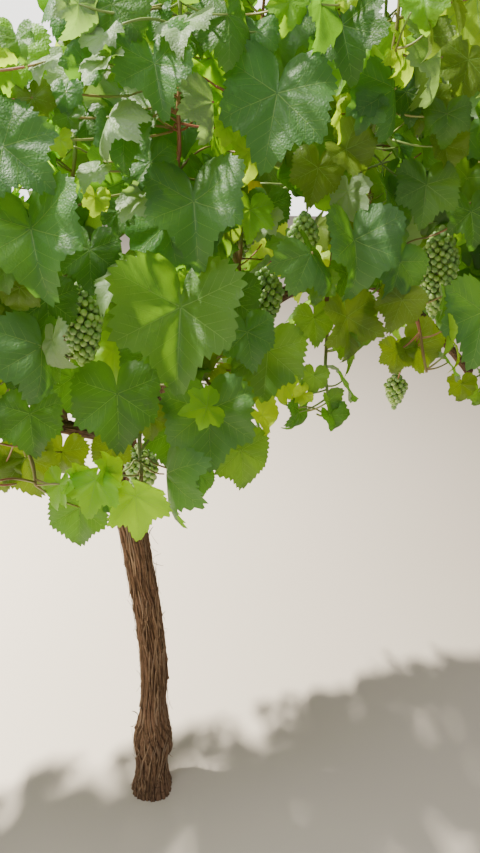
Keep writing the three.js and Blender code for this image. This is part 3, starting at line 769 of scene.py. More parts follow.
# Leaves that stand out in the photo, each where the photo shows it. seen is the pixel where the stalk meets
# the blade, and out is how far in front of the arms that is. turn and tilt are degrees away from facing the
# camera, to the right and up, and roll is the tip's direction from straight down towards the left. tone and
# form name the leaf's colour and blade form; in tone, pale paints the sun's sheen, lime and bright partly
# paint sunlight through the blade, and deep paints shade
frontLeafColumns = ("seen", "out", "span", "turn", "tilt", "roll", "tone", "form")
frontLeaves = [
    ((70, -6), 0.225, 0.070, 0, 10, 20, "blue", "folded"),
    ((78, 4), 0.265, 0.060, 50, 10, 0, "pale", "drooped"),
    ((112, 4), 0.250, 0.086, 10, -5, 6, "mid", "broad"),
    ((102, 36), 0.270, 0.046, -20, 35, 0, "pale", "curled"),
    ((103, 62), 0.275, 0.052, -25, 40, 20, "pale", "open"),
    ((75, 30), 0.220, 0.043, 0, 5, 0, "olive", "broad"),
    ((88, 66), 0.235, 0.054, 0, 0, 30, "blue", "trough"),
    ((155, 65), 0.265, 0.090, 0, 5, -10, "blue", "book"),
    ((107, 117), 0.280, 0.072, -45, 30, -5, "pale", "folded"),
    ((66, 92), 0.245, 0.040, 0, 0, 0, "blue", "broad"),
    ((33, 98), 0.250, 0.048, 10, 0, -25, "olive", "drooped"),
    ((68, 117), 0.250, 0.032, 0, 0, 10, "mid", "young"),
    ((60, 140), 0.260, 0.030, 0, 0, -10, "lime", "young"),
    ((14, 46), 0.235, 0.078, 10, 0, 5, "bright", "broad"),
    ((0, 45), 0.250, 0.042, 30, 0, 0, "lime", "drooped"),
    ((18, 40), 0.270, 0.038, 0, 10, -15, "mid", "trough"),
    ((46, 62), 0.275, 0.038, -20, 35, 10, "pale", "broad"),
    ((26, 92), 0.235, 0.032, 0, 0, 0, "blue", "open"),
    ((3, 147), 0.270, 0.104, 0, 5, -50, "blue", "open"),
    ((86, 118), 0.235, 0.046, 0, 0, 0, "deep", "broad"),
    ((228, 14), 0.250, 0.084, 15, 5, -4, "mid", "folded"),
    ((185, 22), 0.275, 0.068, -20, 38, 0, "pale", "broad"),
    ((150, 12), 0.230, 0.050, 0, 0, -10, "blue", "open"),
    ((290, 2), 0.215, 0.056, 15, 0, 10, "bright", "broad"),
    ((256, 32), 0.230, 0.060, 0, 15, 0, "blue", "drooped"),
    ((277, 94), 0.265, 0.136, 0, 0, 10, "blue", "open"),
    ((212, 58), 0.200, 0.090, 45, 0, 0, "bright", "broad"),
    ((214, 102), 0.255, 0.074, 66, 5, 5, "pale", "folded"),
    ((226, 128), 0.235, 0.036, 20, 0, 0, "lime", "young"),
    ((150, 163), 0.240, 0.080, 0, 5, -80, "blue", "drooped"),
    ((125, 134), 0.255, 0.068, 0, 0, 5, "blue", "trough"),
    ((194, 203), 0.268, 0.124, 0, 12, -4, "blue", "trough"),
    ((342, 26), 0.240, 0.100, -8, 0, -12, "deep", "lobed"),
    ((320, 4), 0.255, 0.090, 60, 0, 0, "blue", "open"),
    ((347, -6), 0.250, 0.032, 0, 0, 10, "lime", "young"),
    ((404, 54), 0.220, 0.085, 60, 0, 10, "lime", "drooped"),
    ((476, -4), 0.230, 0.124, 8, -8, 50, "lime", "lobed"),
    ((443, 57), 0.250, 0.105, 72, 0, 32, "pale", "folded"),
    ((468, 60), 0.200, 0.092, 10, 0, 10, "olive", "broad"),
    ((447, 114), 0.240, 0.070, -10, 15, 0, "mid", "drooped"),
    ((444, 146), 0.215, 0.062, 10, 0, -15, "olive", "trough"),
    ((428, 98), 0.195, 0.070, 0, 0, 15, "olive", "broad"),
    ((406, 92), 0.195, 0.070, 0, 0, -10, "deep", "open"),
    ((366, 106), 0.235, 0.054, 10, 0, 15, "blue", "lobed"),
    ((345, 150), 0.225, 0.076, 15, 0, -60, "olive", "trough"),
    ((341, 114), 0.215, 0.060, 50, 0, 0, "lime", "curled"),
    ((396, 88), 0.235, 0.098, 50, 0, -5, "blue", "folded"),
    ((318, 168), 0.205, 0.076, 10, -10, 8, "olive", "broad"),
    ((353, 241), 0.245, 0.122, 20, 8, -5, "blue", "trough"),
    ((319, 281), 0.235, 0.052, 0, 0, 10, "mid", "lobed"),
    ((312, 252), 0.252, 0.092, 30, 12, -40, "blue", "folded"),
    ((426, 185), 0.220, 0.094, 0, 5, 6, "mid", "open"),
    ((471, 212), 0.220, 0.084, 0, 5, -5, "deep", "lobed"),
    ((462, 228), 0.170, 0.045, 20, 0, 0, "bright", "young"),
    ((400, 262), 0.232, 0.098, 25, 3, 16, "blue", "broad"),
    ((483, 312), 0.250, 0.136, 0, 5, 12, "blue", "open"),
    ((397, 351), 0.205, 0.062, 0, 0, 5, "olive", "young"),
    ((414, 346), 0.200, 0.085, 10, 0, -55, "olive", "trough"),
    ((461, 384), 0.200, 0.052, 0, 0, 0, "olive", "young"),
    ((478, 392), 0.200, 0.042, 0, 0, 10, "mid", "young"),
    ((402, 300), 0.252, 0.074, 0, 0, 20, "olive", "broad"),
    ((346, 317), 0.238, 0.104, 38, 0, -18, "olive", "lobed"),
    ((314, 318), 0.220, 0.064, 10, 0, -10, "mid", "broad"),
    ((32, 230), 0.280, 0.126, 0, 8, -12, "blue", "trough"),
    ((128, 275), 0.215, 0.088, -20, 38, 35, "pale", "broad"),
    ((140, 200), 0.262, 0.056, -25, 40, 20, "pale", "curled"),
    ((118, 212), 0.240, 0.044, 0, 0, 0, "deep", "open"),
    ((95, 198), 0.250, 0.036, 30, 0, 0, "lime", "young"),
    ((95, 170), 0.262, 0.042, -10, 30, 25, "pale", "broad"),
    ((20, 288), 0.240, 0.058, 0, 0, 10, "olive", "drooped"),
    ((43, 346), 0.262, 0.110, 45, 0, 0, "blue", "folded"),
    ((53, 340), 0.278, 0.066, -50, 15, -16, "pale", "drooped"),
    ((30, 414), 0.240, 0.088, 5, 0, -4, "deep", "broad"),
    ((117, 394), 0.262, 0.118, 15, 3, -3, "deep", "broad"),
    ((181, 308), 0.266, 0.160, 0, 2, 3, "mid", "book"),
    ((247, 332), 0.250, 0.080, 0, 5, -10, "blue", "broad"),
    ((268, 351), 0.220, 0.112, 0, 0, 5, "mid", "open"),
    ((207, 407), 0.270, 0.058, 25, 10, 75, "bright", "crisp"),
    ((208, 410), 0.248, 0.132, 0, 0, -3, "blue", "open"),
    ((241, 450), 0.235, 0.094, 20, 0, -8, "mid", "broad"),
    ((164, 474), 0.240, 0.124, -78, 0, 0, "blue", "folded"),
    ((200, 474), 0.250, 0.060, 60, 0, 0, "blue", "open"),
    ((96, 480), 0.265, 0.078, 0, 5, 12, "bright", "cuffed"),
    ((60, 484), 0.245, 0.058, -35, 0, 25, "bright", "crisp"),
    ((78, 478), 0.250, 0.038, 50, 10, 170, "bright", "young"),
    ((107, 472), 0.255, 0.050, 60, 0, 172, "bright", "young"),
    ((80, 507), 0.228, 0.090, 0, 0, 4, "blue", "broad"),
    ((114, 502), 0.240, 0.036, 20, 0, 0, "blue", "young"),
    ((135, 496), 0.265, 0.094, 30, 0, -8, "bright", "cuffed"),
    ((26, 458), 0.160, 0.092, 0, 0, -15, "olive", "broad"),
    ((62, 452), 0.150, 0.084, 0, 0, 10, "olive", "drooped"),
    ((285, 384), 0.235, 0.052, -40, 0, 15, "lime", "lobed"),
    ((314, 376), 0.230, 0.046, 10, 0, 5, "mid", "young"),
    ((303, 394), 0.240, 0.034, 0, 10, 60, "lime", "young"),
    ((299, 412), 0.235, 0.060, 55, 0, -5, "deep", "drooped"),
    ((150, 415), 0.225, 0.056, 0, 0, 0, "olive", "broad"),
    ((4, 466), 0.150, 0.060, 0, 0, 0, "olive", "open"),
    ((4, 262), 0.262, 0.052, 0, 0, 0, "mid", "broad"),
    # From here on, the deep and olive rows that lie well back are dark leaves filling the crown's shaded
    # gaps: painted shade
    ((268, 205), 0.150, 0.070, 0, 0, 0, "deep", "broad"),
    ((72, 378), 0.130, 0.086, 0, 0, 0, "deep", "broad"),
    ((250, 210), 0.215, 0.062, 20, 0, 0, "bright", "crisp"),
    ((264, 220), 0.205, 0.052, -20, 25, 10, "pale", "curled"),
    ((90, 250), 0.170, 0.086, 0, 0, 0, "deep", "broad"),
    ((4, 338), 0.225, 0.042, 0, 0, 0, "lime", "young"),
    ((112, 448), 0.190, 0.062, 0, 0, 0, "olive", "broad"),
    ((172, 432), 0.190, 0.084, 0, 0, 10, "deep", "broad"),
    ((150, 352), 0.190, 0.090, 0, 0, 0, "deep", "open"),
    ((48, 300), 0.190, 0.084, 0, 0, 0, "deep", "broad"),
    ((20, 352), 0.190, 0.084, 0, 0, 10, "deep", "open"),
    ((228, 296), 0.180, 0.100, 0, 0, 0, "deep", "broad"),
    ((238, 382), 0.180, 0.086, 0, 0, -10, "olive", "open"),
]

# Where the photo shows fruit, sky or ground between its leaves: boxes of pixels that the other leaves leave
# free, and how far in front of the arms, or below nought behind them, what shows there is
clearSights = [
    ((2, 2), (38, 27), -0.4), ((24, 28), (54, 42), -0.4),
    ((378, 2), (402, 50), -0.4), ((262, 2), (290, 7), -0.4),
    ((13, 162), (38, 189), -0.4), ((292, 312), (308, 328), -0.4), ((342, 374), (370, 384), -0.4),
    ((72, 402), (78, 408), -0.4), ((408, 327), (412, 333), -0.4), ((241, 444), (249, 464), -0.4),
    ((60, 278), (103, 375), 0.19), ((250, 270), (279, 325), 0.16), ((285, 221), (311, 268), 0.16),
    ((420, 232), (457, 293), 0.16), ((415, 297), (446, 334), 0.16), ((118, 462), (158, 493), 0.14),
    ((383, 375), (400, 402), 0.1), ((414, 362), (440, 396), 0.1), ((135, 385), (150, 410), 0.14),
    ((2, 514), (44, 560), -0.4), ((206, 508), (264, 560), -0.4), ((272, 456), (478, 480), -0.4),
    ((330, 434), (478, 450), -0.4), ((346, 398), (374, 424), -0.4), ((405, 404), (444, 424), -0.4),
]
sightStep = 11  # pixels between the lines that stand for such a box


def seenPoint(x, y, out):
    # the camera's ray through the pixel, as far as the plane that far in front of the arms
    (width, height), focal = view["image"], view["focal"]
    ray = lookForward + lookRight * (x - width / 2) / focal + lookDown * (y - height / 2) / focal
    return eye - ray * (out + eye[1]) / ray[1]


def inPicture(point):
    # whether the camera's picture holds the point: sideways and down in the picture over depth
    offset = (point - eye) / ((point - eye) @ lookForward)
    half = np.array(view["image"]) / 2 / view["focal"]
    return abs(offset @ lookRight) < half[0] and abs(offset @ lookDown) < half[1]


def frontLeaf(row):
    # a leaf from its row, with its axes turned away from the camera's
    leaf = dict(zip(frontLeafColumns, row))
    turn, tilt, roll = (math.radians(leaf[key]) for key in ("turn", "tilt", "roll"))
    normal = unit(lookRight * math.tan(turn) - lookForward - lookDown * math.tan(tilt))
    hang = lookDown * math.cos(roll) - lookRight * math.sin(roll)
    tip = unit(hang - normal * (hang @ normal))
    at = seenPoint(*leaf["seen"], leaf["out"])
    return {**leaf, "at": at, "normal": normal, "up": -tip, "across": np.cross(-tip, normal)}


def sunLines(leaves):
    # lines from places on the leaves that the sun whitens or shines through, half a metre towards the light
    towards = unit(np.array(lights["keyAbove"]["place"]) - np.array(lights["keyAbove"]["target"]))
    lines = []
    for leaf in leaves:
        if leaf["tone"] in ("pale", "lime") or leaf["form"] in ("book", "trough"):
            for u, v in ((0, 0), (0.3, -0.1), (-0.3, -0.1), (0, -0.4), (0.15, 0.2)):
                start = leaf["at"] + (u * leaf["across"] + v * leaf["up"]) * leaf["span"] + towards * 0.015
                lines.append([start, start + towards * 0.5])
    return np.array(lines)


def sightLines(leaves):
    # lines from the front of the crown to what is to stay in sight: the clear boxes and the placed leaves
    ends = []
    for (left, top), (right, bottom), out in clearSights:
        for x in np.linspace(left, right, max(2, round((right - left) / sightStep) + 1)):
            for y in np.linspace(top, bottom, max(2, round((bottom - top) / sightStep) + 1)):
                ends.append(seenPoint(x, y, out))
    for leaf in leaves:
        for share in (0.0, 0.4, 0.8):
            for corner in leafCorners(leaf)[:5 if share else 1]:
                end = mix(leaf["at"], corner, share) + leaf["normal"] * 0.05 * leaf["span"]
                if inPicture(end):
                    ends.append(end)
    ends = np.array(ends)
    share = (cadBox[0][1] - eye[1]) / (ends[:, 1:2] - eye[1])
    return np.stack([eye + (ends - eye) * share, ends], 1)


def growFront(leaf, cell):
    # the leaf's stalk comes from the nearest point on a shoot, through a side shoot where that is far
    spots = np.concatenate([alongPath(shoot["path"], 60) for shoot in cell["shoots"]])
    behind = leaf["at"] - leaf["normal"] * 0.03 + leaf["up"] * 0.02
    root = spots[np.argmin(np.linalg.norm(spots - behind, axis=1))]
    reach = np.linalg.norm(leaf["at"] - root)
    leaf["node"] = mix(leaf["at"], root, min(1, vine["stalkLength"] / reach))
    if reach > vine["stalkLength"]:
        cell["laterals"].append((root, leaf["node"]))
    leaf["stalk"] = unit(leaf["at"] - leaf["node"])
    keepLeaf(leaf, cell)


growth = {
    "internode": 0.055,
    "laterals": 0.9,
    "lateralLength": (0.05, 0.13),
    "room": 600,
    "neighbours": 0.15,  # shoots this far beyond the cell's ends are kept clear of too
    "first": {"sizes": (0.86, 1.12), "turns": (0.2, 1.25)},
    "second": {"sizes": (0.62, 0.95), "turns": (0.5, 2.4)},
    "last": {"sizes": (0.45, 0.8), "turns": (0.1, 2.6)},
}


def leafPass(cell, stream, side, sizes, turns):
    # one leaf for each node, with its size as a share of the node's own and its turn to that side
    for number, j, node, youth, hand in cell["nodes"]:
        draw = seededRandom(cell["seed"] * stream + number * 100 + j)
        placeLeaf(node, cell, youth * draw(*sizes), side * hand * draw(*turns), draw)


def nodesOf(cell):
    # nodes as close as on a real vine, each with its share of a full leaf's size and its side of the shoot
    nodes = []
    for number, shoot in enumerate(cell["shoots"]):
        count = round(lengthOf(shoot["path"]) / growth["internode"])
        for j in range(count):
            t = (j + 0.95) / count
            youth = 1 - 0.4 * t * t if shoot["kind"] == "upright" else 0.9 - 0.25 * t
            nodes.append((number, j, pointAt(shoot["path"], t), youth, -1 if j % 2 else 1))
    return nodes


def sideShoots(cell):
    # short side shoots of three small leaves, kept where at least one leaf finds room
    for number, j, node, youth, hand in cell["nodes"]:
        draw = seededRandom(cell["seed"] * 2000 + number * 100 + j)
        if draw(0, 1) > growth["laterals"]:
            continue
        aim = unit(turned(cell["outward"], -hand * draw(0.3, 1.9)) + vertical * draw(-0.1, 0.7))
        end = node + aim * draw(*growth["lateralLength"])
        bearing = False
        for share in (0.4, 0.7, 0.98):
            size, turn = youth * draw(0.5, 0.85), -hand * draw(0.2, 1.8)
            bearing = placeLeaf(mix(node, end, share), cell, size, turn, draw, 8) or bearing
        if bearing:
            cell["laterals"].append((node, end))


def growMass(cell, ownLeaves):
    # the listed leaves first, then a large and a smaller leaf at each node, the side shoots and a
    # last small leaf at each node, wherever there is room
    room, beyond = growth["room"], growth["neighbours"]
    cell.update(count=0, leaves=[], laterals=[], nodes=nodesOf(cell), at=np.zeros((room, 3)),
                segments=np.zeros((room, 11, 2, 3)), triangles=np.zeros((room, 5, 3, 3)))
    away = np.linalg.norm(limbSamples[:, :3] - cell["site"]["tip"], axis=1) > 0.008
    cell["wood"] = np.concatenate([limbSamples[away], fruitSamples])
    across = twigs[:, :, 0]
    cell["twigs"] = twigs[(across.max(1) > cell["low"] - beyond) & (across.min(1) < cell["high"] + beyond)]
    for leaf in ownLeaves:
        growFront(leaf, cell)
    leafPass(cell, 1000, 1, **growth["first"])
    leafPass(cell, 1500, -1, **growth["second"])
    sideShoots(cell)
    leafPass(cell, 2500, 1, **growth["last"])


cells = [cell for face in (-1, 1) for cell in cellsFor(sites, face)]
twigs, fruitSamples = [], []
for cell in cells:
    cell["shoots"] = shootsOf(cell, seededRandom(cell["seed"]))
    cell["bunches"] = bunchesOf(cell, cell["shoots"])
    for shoot in cell["shoots"]:
        coarse = alongPath(shoot["path"], 9)
        twigs.append(np.stack([coarse[:-1], coarse[1:]], 1))
    for b in cell["bunches"]:
        for share in (0.15, 0.4, 0.7):
            fruitSamples.append([*(b["top"] - vertical * share * b["length"]), b["width"] / 2])
twigs, fruitSamples = np.concatenate(twigs), np.array(fruitSamples)
placed = [frontLeaf(row) for row in frontLeaves]
centres = np.array([leaf["at"][0] - 0.2 * leaf["span"] * leaf["up"][0] for leaf in placed])
lines = np.concatenate([sightLines(placed), sunLines(placed)])
across, far = lines[:, :, 0], lines[:, :, 1].max(1)
for cell in cells:
    crossesCell = (across.max(1) > cell["low"] - 0.03) & (across.min(1) < cell["high"] + 0.03)
    cell["sights"] = lines[crossesCell & ((cell["face"] < 0) | (far > 0))]
    own = (cell["face"] < 0) & (cell["low"] < centres) & (centres < cell["high"])
    growMass(cell, [placed[k] for k in np.flatnonzero(own)])
print("leaves:", [len(cell["leaves"]) for cell in cells], sum(len(cell["leaves"]) for cell in cells))


# Materials

def newMaterial(name):
    material = bpy.data.materials.new(name)
    material.use_nodes = True
    return material, material.node_tree, material.node_tree.nodes["Principled BSDF"]


def feed(tree, node, inputs):
    # sets a node's inputs, each to a plain value or to another node's output
    for key, value in inputs.items():
        if isinstance(value, bpy.types.NodeSocket):
            tree.links.new(value, node.inputs[key])
        else:
            node.inputs[key].default_value = value


def put(tree, kind, inputs=None, **settings):
    # a new node with its settings and inputs
    node = tree.nodes.new("ShaderNode" + kind)
    for key, value in settings.items():
        setattr(node, key, value)
    feed(tree, node, inputs or {})
    return node


def rgba(red, green, blue):
    return (red, green, blue, 1)


def placeOn(tree):
    return put(tree, "TexCoord").outputs["Object"]


def noise(tree, place, scale, detail, roughness=0.5):
    inputs = {"Vector": place, "Scale": scale, "Detail": detail, "Roughness": roughness}
    return put(tree, "TexNoise", inputs).outputs["Fac"]


def ranged(tree, value, low, high):
    # nought up to low, one from high on, and even between
    return put(tree, "MapRange", {"Value": value, "From Min": low, "From Max": high}).outputs["Result"]


def between(tree, value, low, high):
    # from low to high as the value goes from nought to one
    return put(tree, "MapRange", {"Value": value, "To Min": low, "To Max": high}).outputs["Result"]


def blend(tree, share, one, other):
    # a colour mixed from two; a mix node's colours are its inputs 6 and 7 and its output 2
    return put(tree, "Mix", {0: share, 6: one, 7: other}, data_type="RGBA").outputs[2]


def bumpy(tree, height, strength, distance):
    return put(tree, "Bump", {"Height": height, "Strength": strength, "Distance": distance}).outputs["Normal"]


def shaderGroup(name, inputs, build):
    # a node group, built once, that turns its named inputs into a colour, a normal and a roughness
    group = bpy.data.node_groups.new(name, "ShaderNodeTree")
    for label, (kind, value) in inputs.items():
        socket = group.interface.new_socket(label, in_out="INPUT", socket_type="NodeSocket" + kind)
        socket.default_value = value
    for label, kind in (("Colour", "Color"), ("Normal", "Vector"), ("Roughness", "Float")):
        group.interface.new_socket(label, in_out="OUTPUT", socket_type="NodeSocket" + kind)
    start = group.nodes.new("NodeGroupInput")
    feed(group, group.nodes.new("NodeGroupOutput"), build(group, start.outputs))
    return group


skinLook = {"cells": 430.0, "folds": 210.0, "depth": 0.0013, "rough": (0.42, 0.60)}


def buildBladeSkin(tree, given):
    # patches of colour, puckered cells between the finest veins, and uneven gloss
    place = placeOn(tree)
    patches = noise(tree, place, given["Patch Scale"], 3.0)
    cells = put(tree, "TexVoronoi", {"Vector": place, "Scale": skinLook["cells"]}, feature="SMOOTH_F1")
    folds = noise(tree, place, skinLook["folds"], 3.0)
    height = put(tree, "Math", {0: cells.outputs["Distance"], 1: folds}, operation="ADD").outputs[0]
    return {"Colour": blend(tree, patches, given["Colour"], given["Other Colour"]),
            "Normal": bumpy(tree, height, given["Relief"], skinLook["depth"]),
            "Roughness": between(tree, folds, *skinLook["rough"])}


bladeSkin = shaderGroup("bladeSkin", {
    "Colour": ("Color", rgba(0.1, 0.2, 0.05)),
    "Other Colour": ("Color", rgba(0.1, 0.2, 0.05)),
    "Patch Scale": ("Float", 14.0),
    "Relief": ("Float", 0.58),
}, buildBladeSkin)

# Plain colours for each tone of leaf: upper side, its patches, underside and the light that comes through.
# Some tones are painted light: deep is painted shade, pale is a painted whitish sheen of sunlight on the
# upper side, and bright and lime are partly young leaves' own yellow-green, partly painted sunlight on and
# through the blade
leafTones = {
    "deep": [(0.031, 0.082, 0.015), (0.047, 0.110, 0.020), (0.085, 0.160, 0.045), (0.15, 0.42, 0.008)],
    "mid": [(0.050, 0.125, 0.023), (0.069, 0.157, 0.030), (0.108, 0.188, 0.050), (0.29, 0.58, 0.012)],
    "blue": [(0.048, 0.130, 0.036), (0.064, 0.160, 0.044), (0.105, 0.195, 0.065), (0.22, 0.52, 0.012)],
    "olive": [(0.085, 0.140, 0.014), (0.115, 0.170, 0.018), (0.130, 0.190, 0.040), (0.30, 0.48, 0.008)],
    "bright": [(0.115, 0.300, 0.006), (0.155, 0.350, 0.010), (0.190, 0.330, 0.030), (0.48, 0.88, 0.003)],
    "lime": [(0.240, 0.420, 0.008), (0.300, 0.470, 0.014), (0.290, 0.410, 0.036), (0.70, 0.97, 0.005)],
    "pale": [(0.190, 0.290, 0.130), (0.260, 0.360, 0.190), (0.180, 0.260, 0.110), (0.30, 0.52, 0.06)],
    "gold": [(0.200, 0.205, 0.010), (0.270, 0.250, 0.014), (0.220, 0.220, 0.030), (0.55, 0.55, 0.006)],
    "vein": [(0.160, 0.280, 0.070), (0.190, 0.310, 0.085), (0.200, 0.310, 0.100), (0.50, 0.80, 0.050)],
}
leafLook = {"through": 0.46, "shine": 0.48}


def leafMaterial(name, tone):
    # two-sided blade: gloss from the upper skin, paler underside, and light that shines through
    material, tree, skin = newMaterial(name)
    top, patch, under, through = (rgba(*colour) for colour in tone)
    pattern = put(tree, "Group", {"Colour": top, "Other Colour": patch}, node_tree=bladeSkin)
    side = put(tree, "NewGeometry").outputs["Backfacing"]
    feed(tree, skin, {
        "Base Color": blend(tree, side, pattern.outputs["Colour"], under),
        "Roughness": pattern.outputs["Roughness"],
        "Normal": pattern.outputs["Normal"],
        "Specular IOR Level": leafLook["shine"],
    })
    glow = put(tree, "BsdfTranslucent", {"Color": through})
    both = put(tree, "MixShader", {0: leafLook["through"], 1: skin.outputs[0], 2: glow.outputs[0]})
    feed(tree, tree.nodes["Material Output"], {"Surface": both.outputs[0]})
    return material


leafMaterials = [leafMaterial("leaf_" + name, tone) for name, tone in leafTones.items()]
toneNames = list(leafTones)


barkLook = {"fibres": (0.35, 0.68), "grey": (0.45, 0.7), "relief": (0.8, 0.0012), "rough": (0.8, 1.0),
            "crevice": (0.014, 0.009, 0.006), "shine": 0.2}


def buildBarkGrain(tree, given):
    # long fibres: noise that is stretched along the limb, with grey patches over it
    place = placeOn(tree)
    stretch = put(tree, "Mapping", {"Vector": place, "Scale": given["Stretch"]}).outputs[0]
    fibres = noise(tree, stretch, 1.0, 8.0, 0.65)
    grey = ranged(tree, noise(tree, place, 22.0, 4.0), *barkLook["grey"])
    grain = blend(tree, ranged(tree, fibres, *barkLook["fibres"]), given["Dark"], given["Light"])
    return {"Colour": blend(tree, grey, grain, given["Tint"]),
            "Normal": bumpy(tree, fibres, *barkLook["relief"]),
            "Roughness": between(tree, fibres, *barkLook["rough"])}


barkGrain = shaderGroup("barkGrain", {
    "Dark": ("Color", rgba(0.05, 0.03, 0.02)),
    "Light": ("Color", rgba(0.3, 0.2, 0.14)),
    "Tint": ("Color", rgba(0.25, 0.2, 0.16)),
    "Stretch": ("Vector", (260, 260, 14)),
}, buildBarkGrain)


def barkMaterial(name, dark, light, tint, stretch):
    # the grain, with the crevices of the mesh's own relief in shadow colour
    material, tree, skin = newMaterial(name)
    colours = {"Dark": rgba(*dark), "Light": rgba(*light), "Tint": rgba(*tint)}
    grain = put(tree, "Group", {**colours, "Stretch": stretch}, node_tree=barkGrain)
    crevice = put(tree, "Attribute", attribute_name="crevice").outputs["Fac"]
    feed(tree, skin, {
        "Base Color": blend(tree, crevice, grain.outputs["Colour"], rgba(*barkLook["crevice"])),
        "Roughness": grain.outputs["Roughness"],
        "Normal": grain.outputs["Normal"],
        "Specular IOR Level": barkLook["shine"],
    })
    return material


# Dark and light fibres, grey patches, and how closely the fibres lie along X, Y and Z
barks = {
    "oldBark": [(0.030, 0.015, 0.008), (0.27, 0.160, 0.092), (0.20, 0.115, 0.070), (300, 300, 16)],
    "shredBark": [(0.09, 0.050, 0.028), (0.38, 0.255, 0.155), (0.22, 0.155, 0.105), (300, 300, 16)],
    "armBark": [(0.038, 0.020, 0.010), (0.21, 0.13, 0.075), (0.13, 0.09, 0.06), (40, 320, 320)],
    "spurBark": [(0.110, 0.065, 0.036), (0.36, 0.22, 0.12), (0.30, 0.20, 0.12), (420, 420, 30)],
}
barkSkins = {name: barkMaterial(name, *look) for name, look in barks.items()}


def stemMaterial(name, green, red, roughness):
    # green shoots that turn red-brown in patches
    material, tree, skin = newMaterial(name)
    place = placeOn(tree)
    share = ranged(tree, noise(tree, place, 7.0, 3.0), 0.42, 0.62)
    feed(tree, skin, {
        "Base Color": blend(tree, share, rgba(*green), rgba(*red)),
        "Normal": bumpy(tree, noise(tree, place, 420.0, 2.0), 0.25, 0.0005),
        "Roughness": roughness,
    })
    return material


caneSkin = stemMaterial("caneSkin", (0.15, 0.22, 0.05), (0.20, 0.075, 0.035), 0.5)
stalkSkin = stemMaterial("stalkSkin", (0.20, 0.29, 0.07), (0.27, 0.09, 0.05), 0.45)


def berryMaterial(name, ripe, pale):
    # unripe berries: clear green skin under a pale waxy bloom, with a little light in the flesh
    material, tree, skin = newMaterial(name)
    bloom = noise(tree, placeOn(tree), 95.0, 4.0)
    feed(tree, skin, {
        "Base Color": blend(tree, ranged(tree, bloom, 0.4, 0.68), rgba(*ripe), rgba(*pale)),
        "Roughness": between(tree, bloom, 0.28, 0.6),
        "Subsurface Weight": 0.4,
        "Subsurface Radius": (0.006, 0.008, 0.003),
        "Subsurface Scale": 0.6,
    })
    return material


berrySkins = [berryMaterial("berry_green", (0.21, 0.36, 0.09), (0.31, 0.46, 0.21)),
              berryMaterial("berry_pale", (0.30, 0.46, 0.10), (0.40, 0.55, 0.22))]
print("materials made")

# Trunk and boughs with their bark

# Rings and the points round each, plates round the limb, and the plates' length and relief in metres
bark = {
    "trunk": {"rings": 500, "around": 172, "strips": 17, "stripLength": 0.13, "depth": 0.0105},
    "arm": {"rings": 420, "around": 60, "strips": 9, "stripLength": 0.06, "depth": 0.0042},
    "spur": {"rings": 90, "around": 36, "strips": 6, "stripLength": 0.03, "depth": 0.0018},
}


def barkRelief(turn, along, look, seed):
    # two layers of plates, each a long strip with its own height, rounded across and loose at its lower end,
    # with crevices between, and fine fibres over them. turn is 0 to 1 round the limb and along is metres.
    # Gives the height, from 0 to a little over 1, and the crevice from 0 to 1
    strips, length = look["strips"], look["stripLength"]
    layers = [(0.6, strips, length), (0.4, strips * 2 + 1, length * 0.5)]
    height, crevice = 0, 0
    for layer, (share, count, reach) in enumerate(layers):
        wander = (latticeNoise(turn * 5, along / (reach * 0.9), seed + layer, 5) - 0.5) * 2.4
        place = turn * count + wander
        column = np.mod(np.floor(place), count)
        across = place - np.floor(place)
        row = along / reach + scatter(column, column * 0, seed + 3 + layer) * 7
        down = row - np.floor(row)
        own = scatter(column, np.floor(row), seed + 7 + layer)
        pillow = 1 - np.abs(2 * across - 1) ** 2.5
        loose = np.clip(1 - down / 0.3, 0, 1) ** 2 * own
        height = height + share * (0.4 * own + 0.42 * pillow + 0.4 * loose)
        gaps = (1 - pillow) ** 2 * (1 - 0.35 * layer) + 0.5 * (down > 0.97) * (1 - own)
        crevice = np.maximum(crevice, gaps)
    fibre = latticeNoise(turn * strips * 6, along / (length * 0.22), seed + 11, strips * 6)
    return height + 0.16 * fibre, np.clip(crevice, 0, 1)


def trunkSkin(turn, z):
    # the source's radius with its folds, at turns of the trunk and heights
    angle = turn * 2 * math.pi
    folds = 1 + 0.05 * np.sin(3 * angle + z / 0.09) + 0.035 * np.sin(5 * angle - z / 0.06)
    return trunkRadiusAt(z) * folds


def trunkOut(turn):
    # level direction out of the trunk at each turn, counted from the front towards the right
    angle = np.asarray(turn) * 2 * math.pi
    return np.stack([np.sin(angle), -np.cos(angle), angle * 0], -1)


def trunkMesh():
    # level rings up the trunk: centre, plus the source's radius and folds, plus the bark's relief and burls
    look, top = bark["trunk"], vine["headHeight"]
    z = np.linspace(0, top, look["rings"])[:, None]
    turn = np.linspace(0, 1, look["around"], endpoint=False)[None, :]
    height, crevice = barkRelief(turn + z * 0.35, z, look, 11)
    knobbly = bell(z, 0.13, 0.09) * 2 + bell(z, 0.92, 0.06) * 2 + 0.6
    burls = 0.004 * (latticeNoise(turn * 6, z / 0.045, 21, 6) - 0.5) * knobbly
    radius = trunkSkin(turn, z) + (height - 0.5) * look["depth"] + burls
    radius = radius * np.clip((top - z) / 0.012, 0, 1) ** 0.5
    centre = trunkCentre(z[:, 0])
    points, faces = closedTubes((centre[:, None] + trunkOut(turn) * radius[..., None])[None], centre[None])
    return points, faces, np.append(crevice, [0, 0])


shreds = {"count": 300, "steps": 12, "length": (0.03, 0.15), "width": (0.0011, 0.0048), "thickness": 0.0006,
          "lift": 0.0018, "curl": 0.018, "endGap": (0.004, 0.05)}


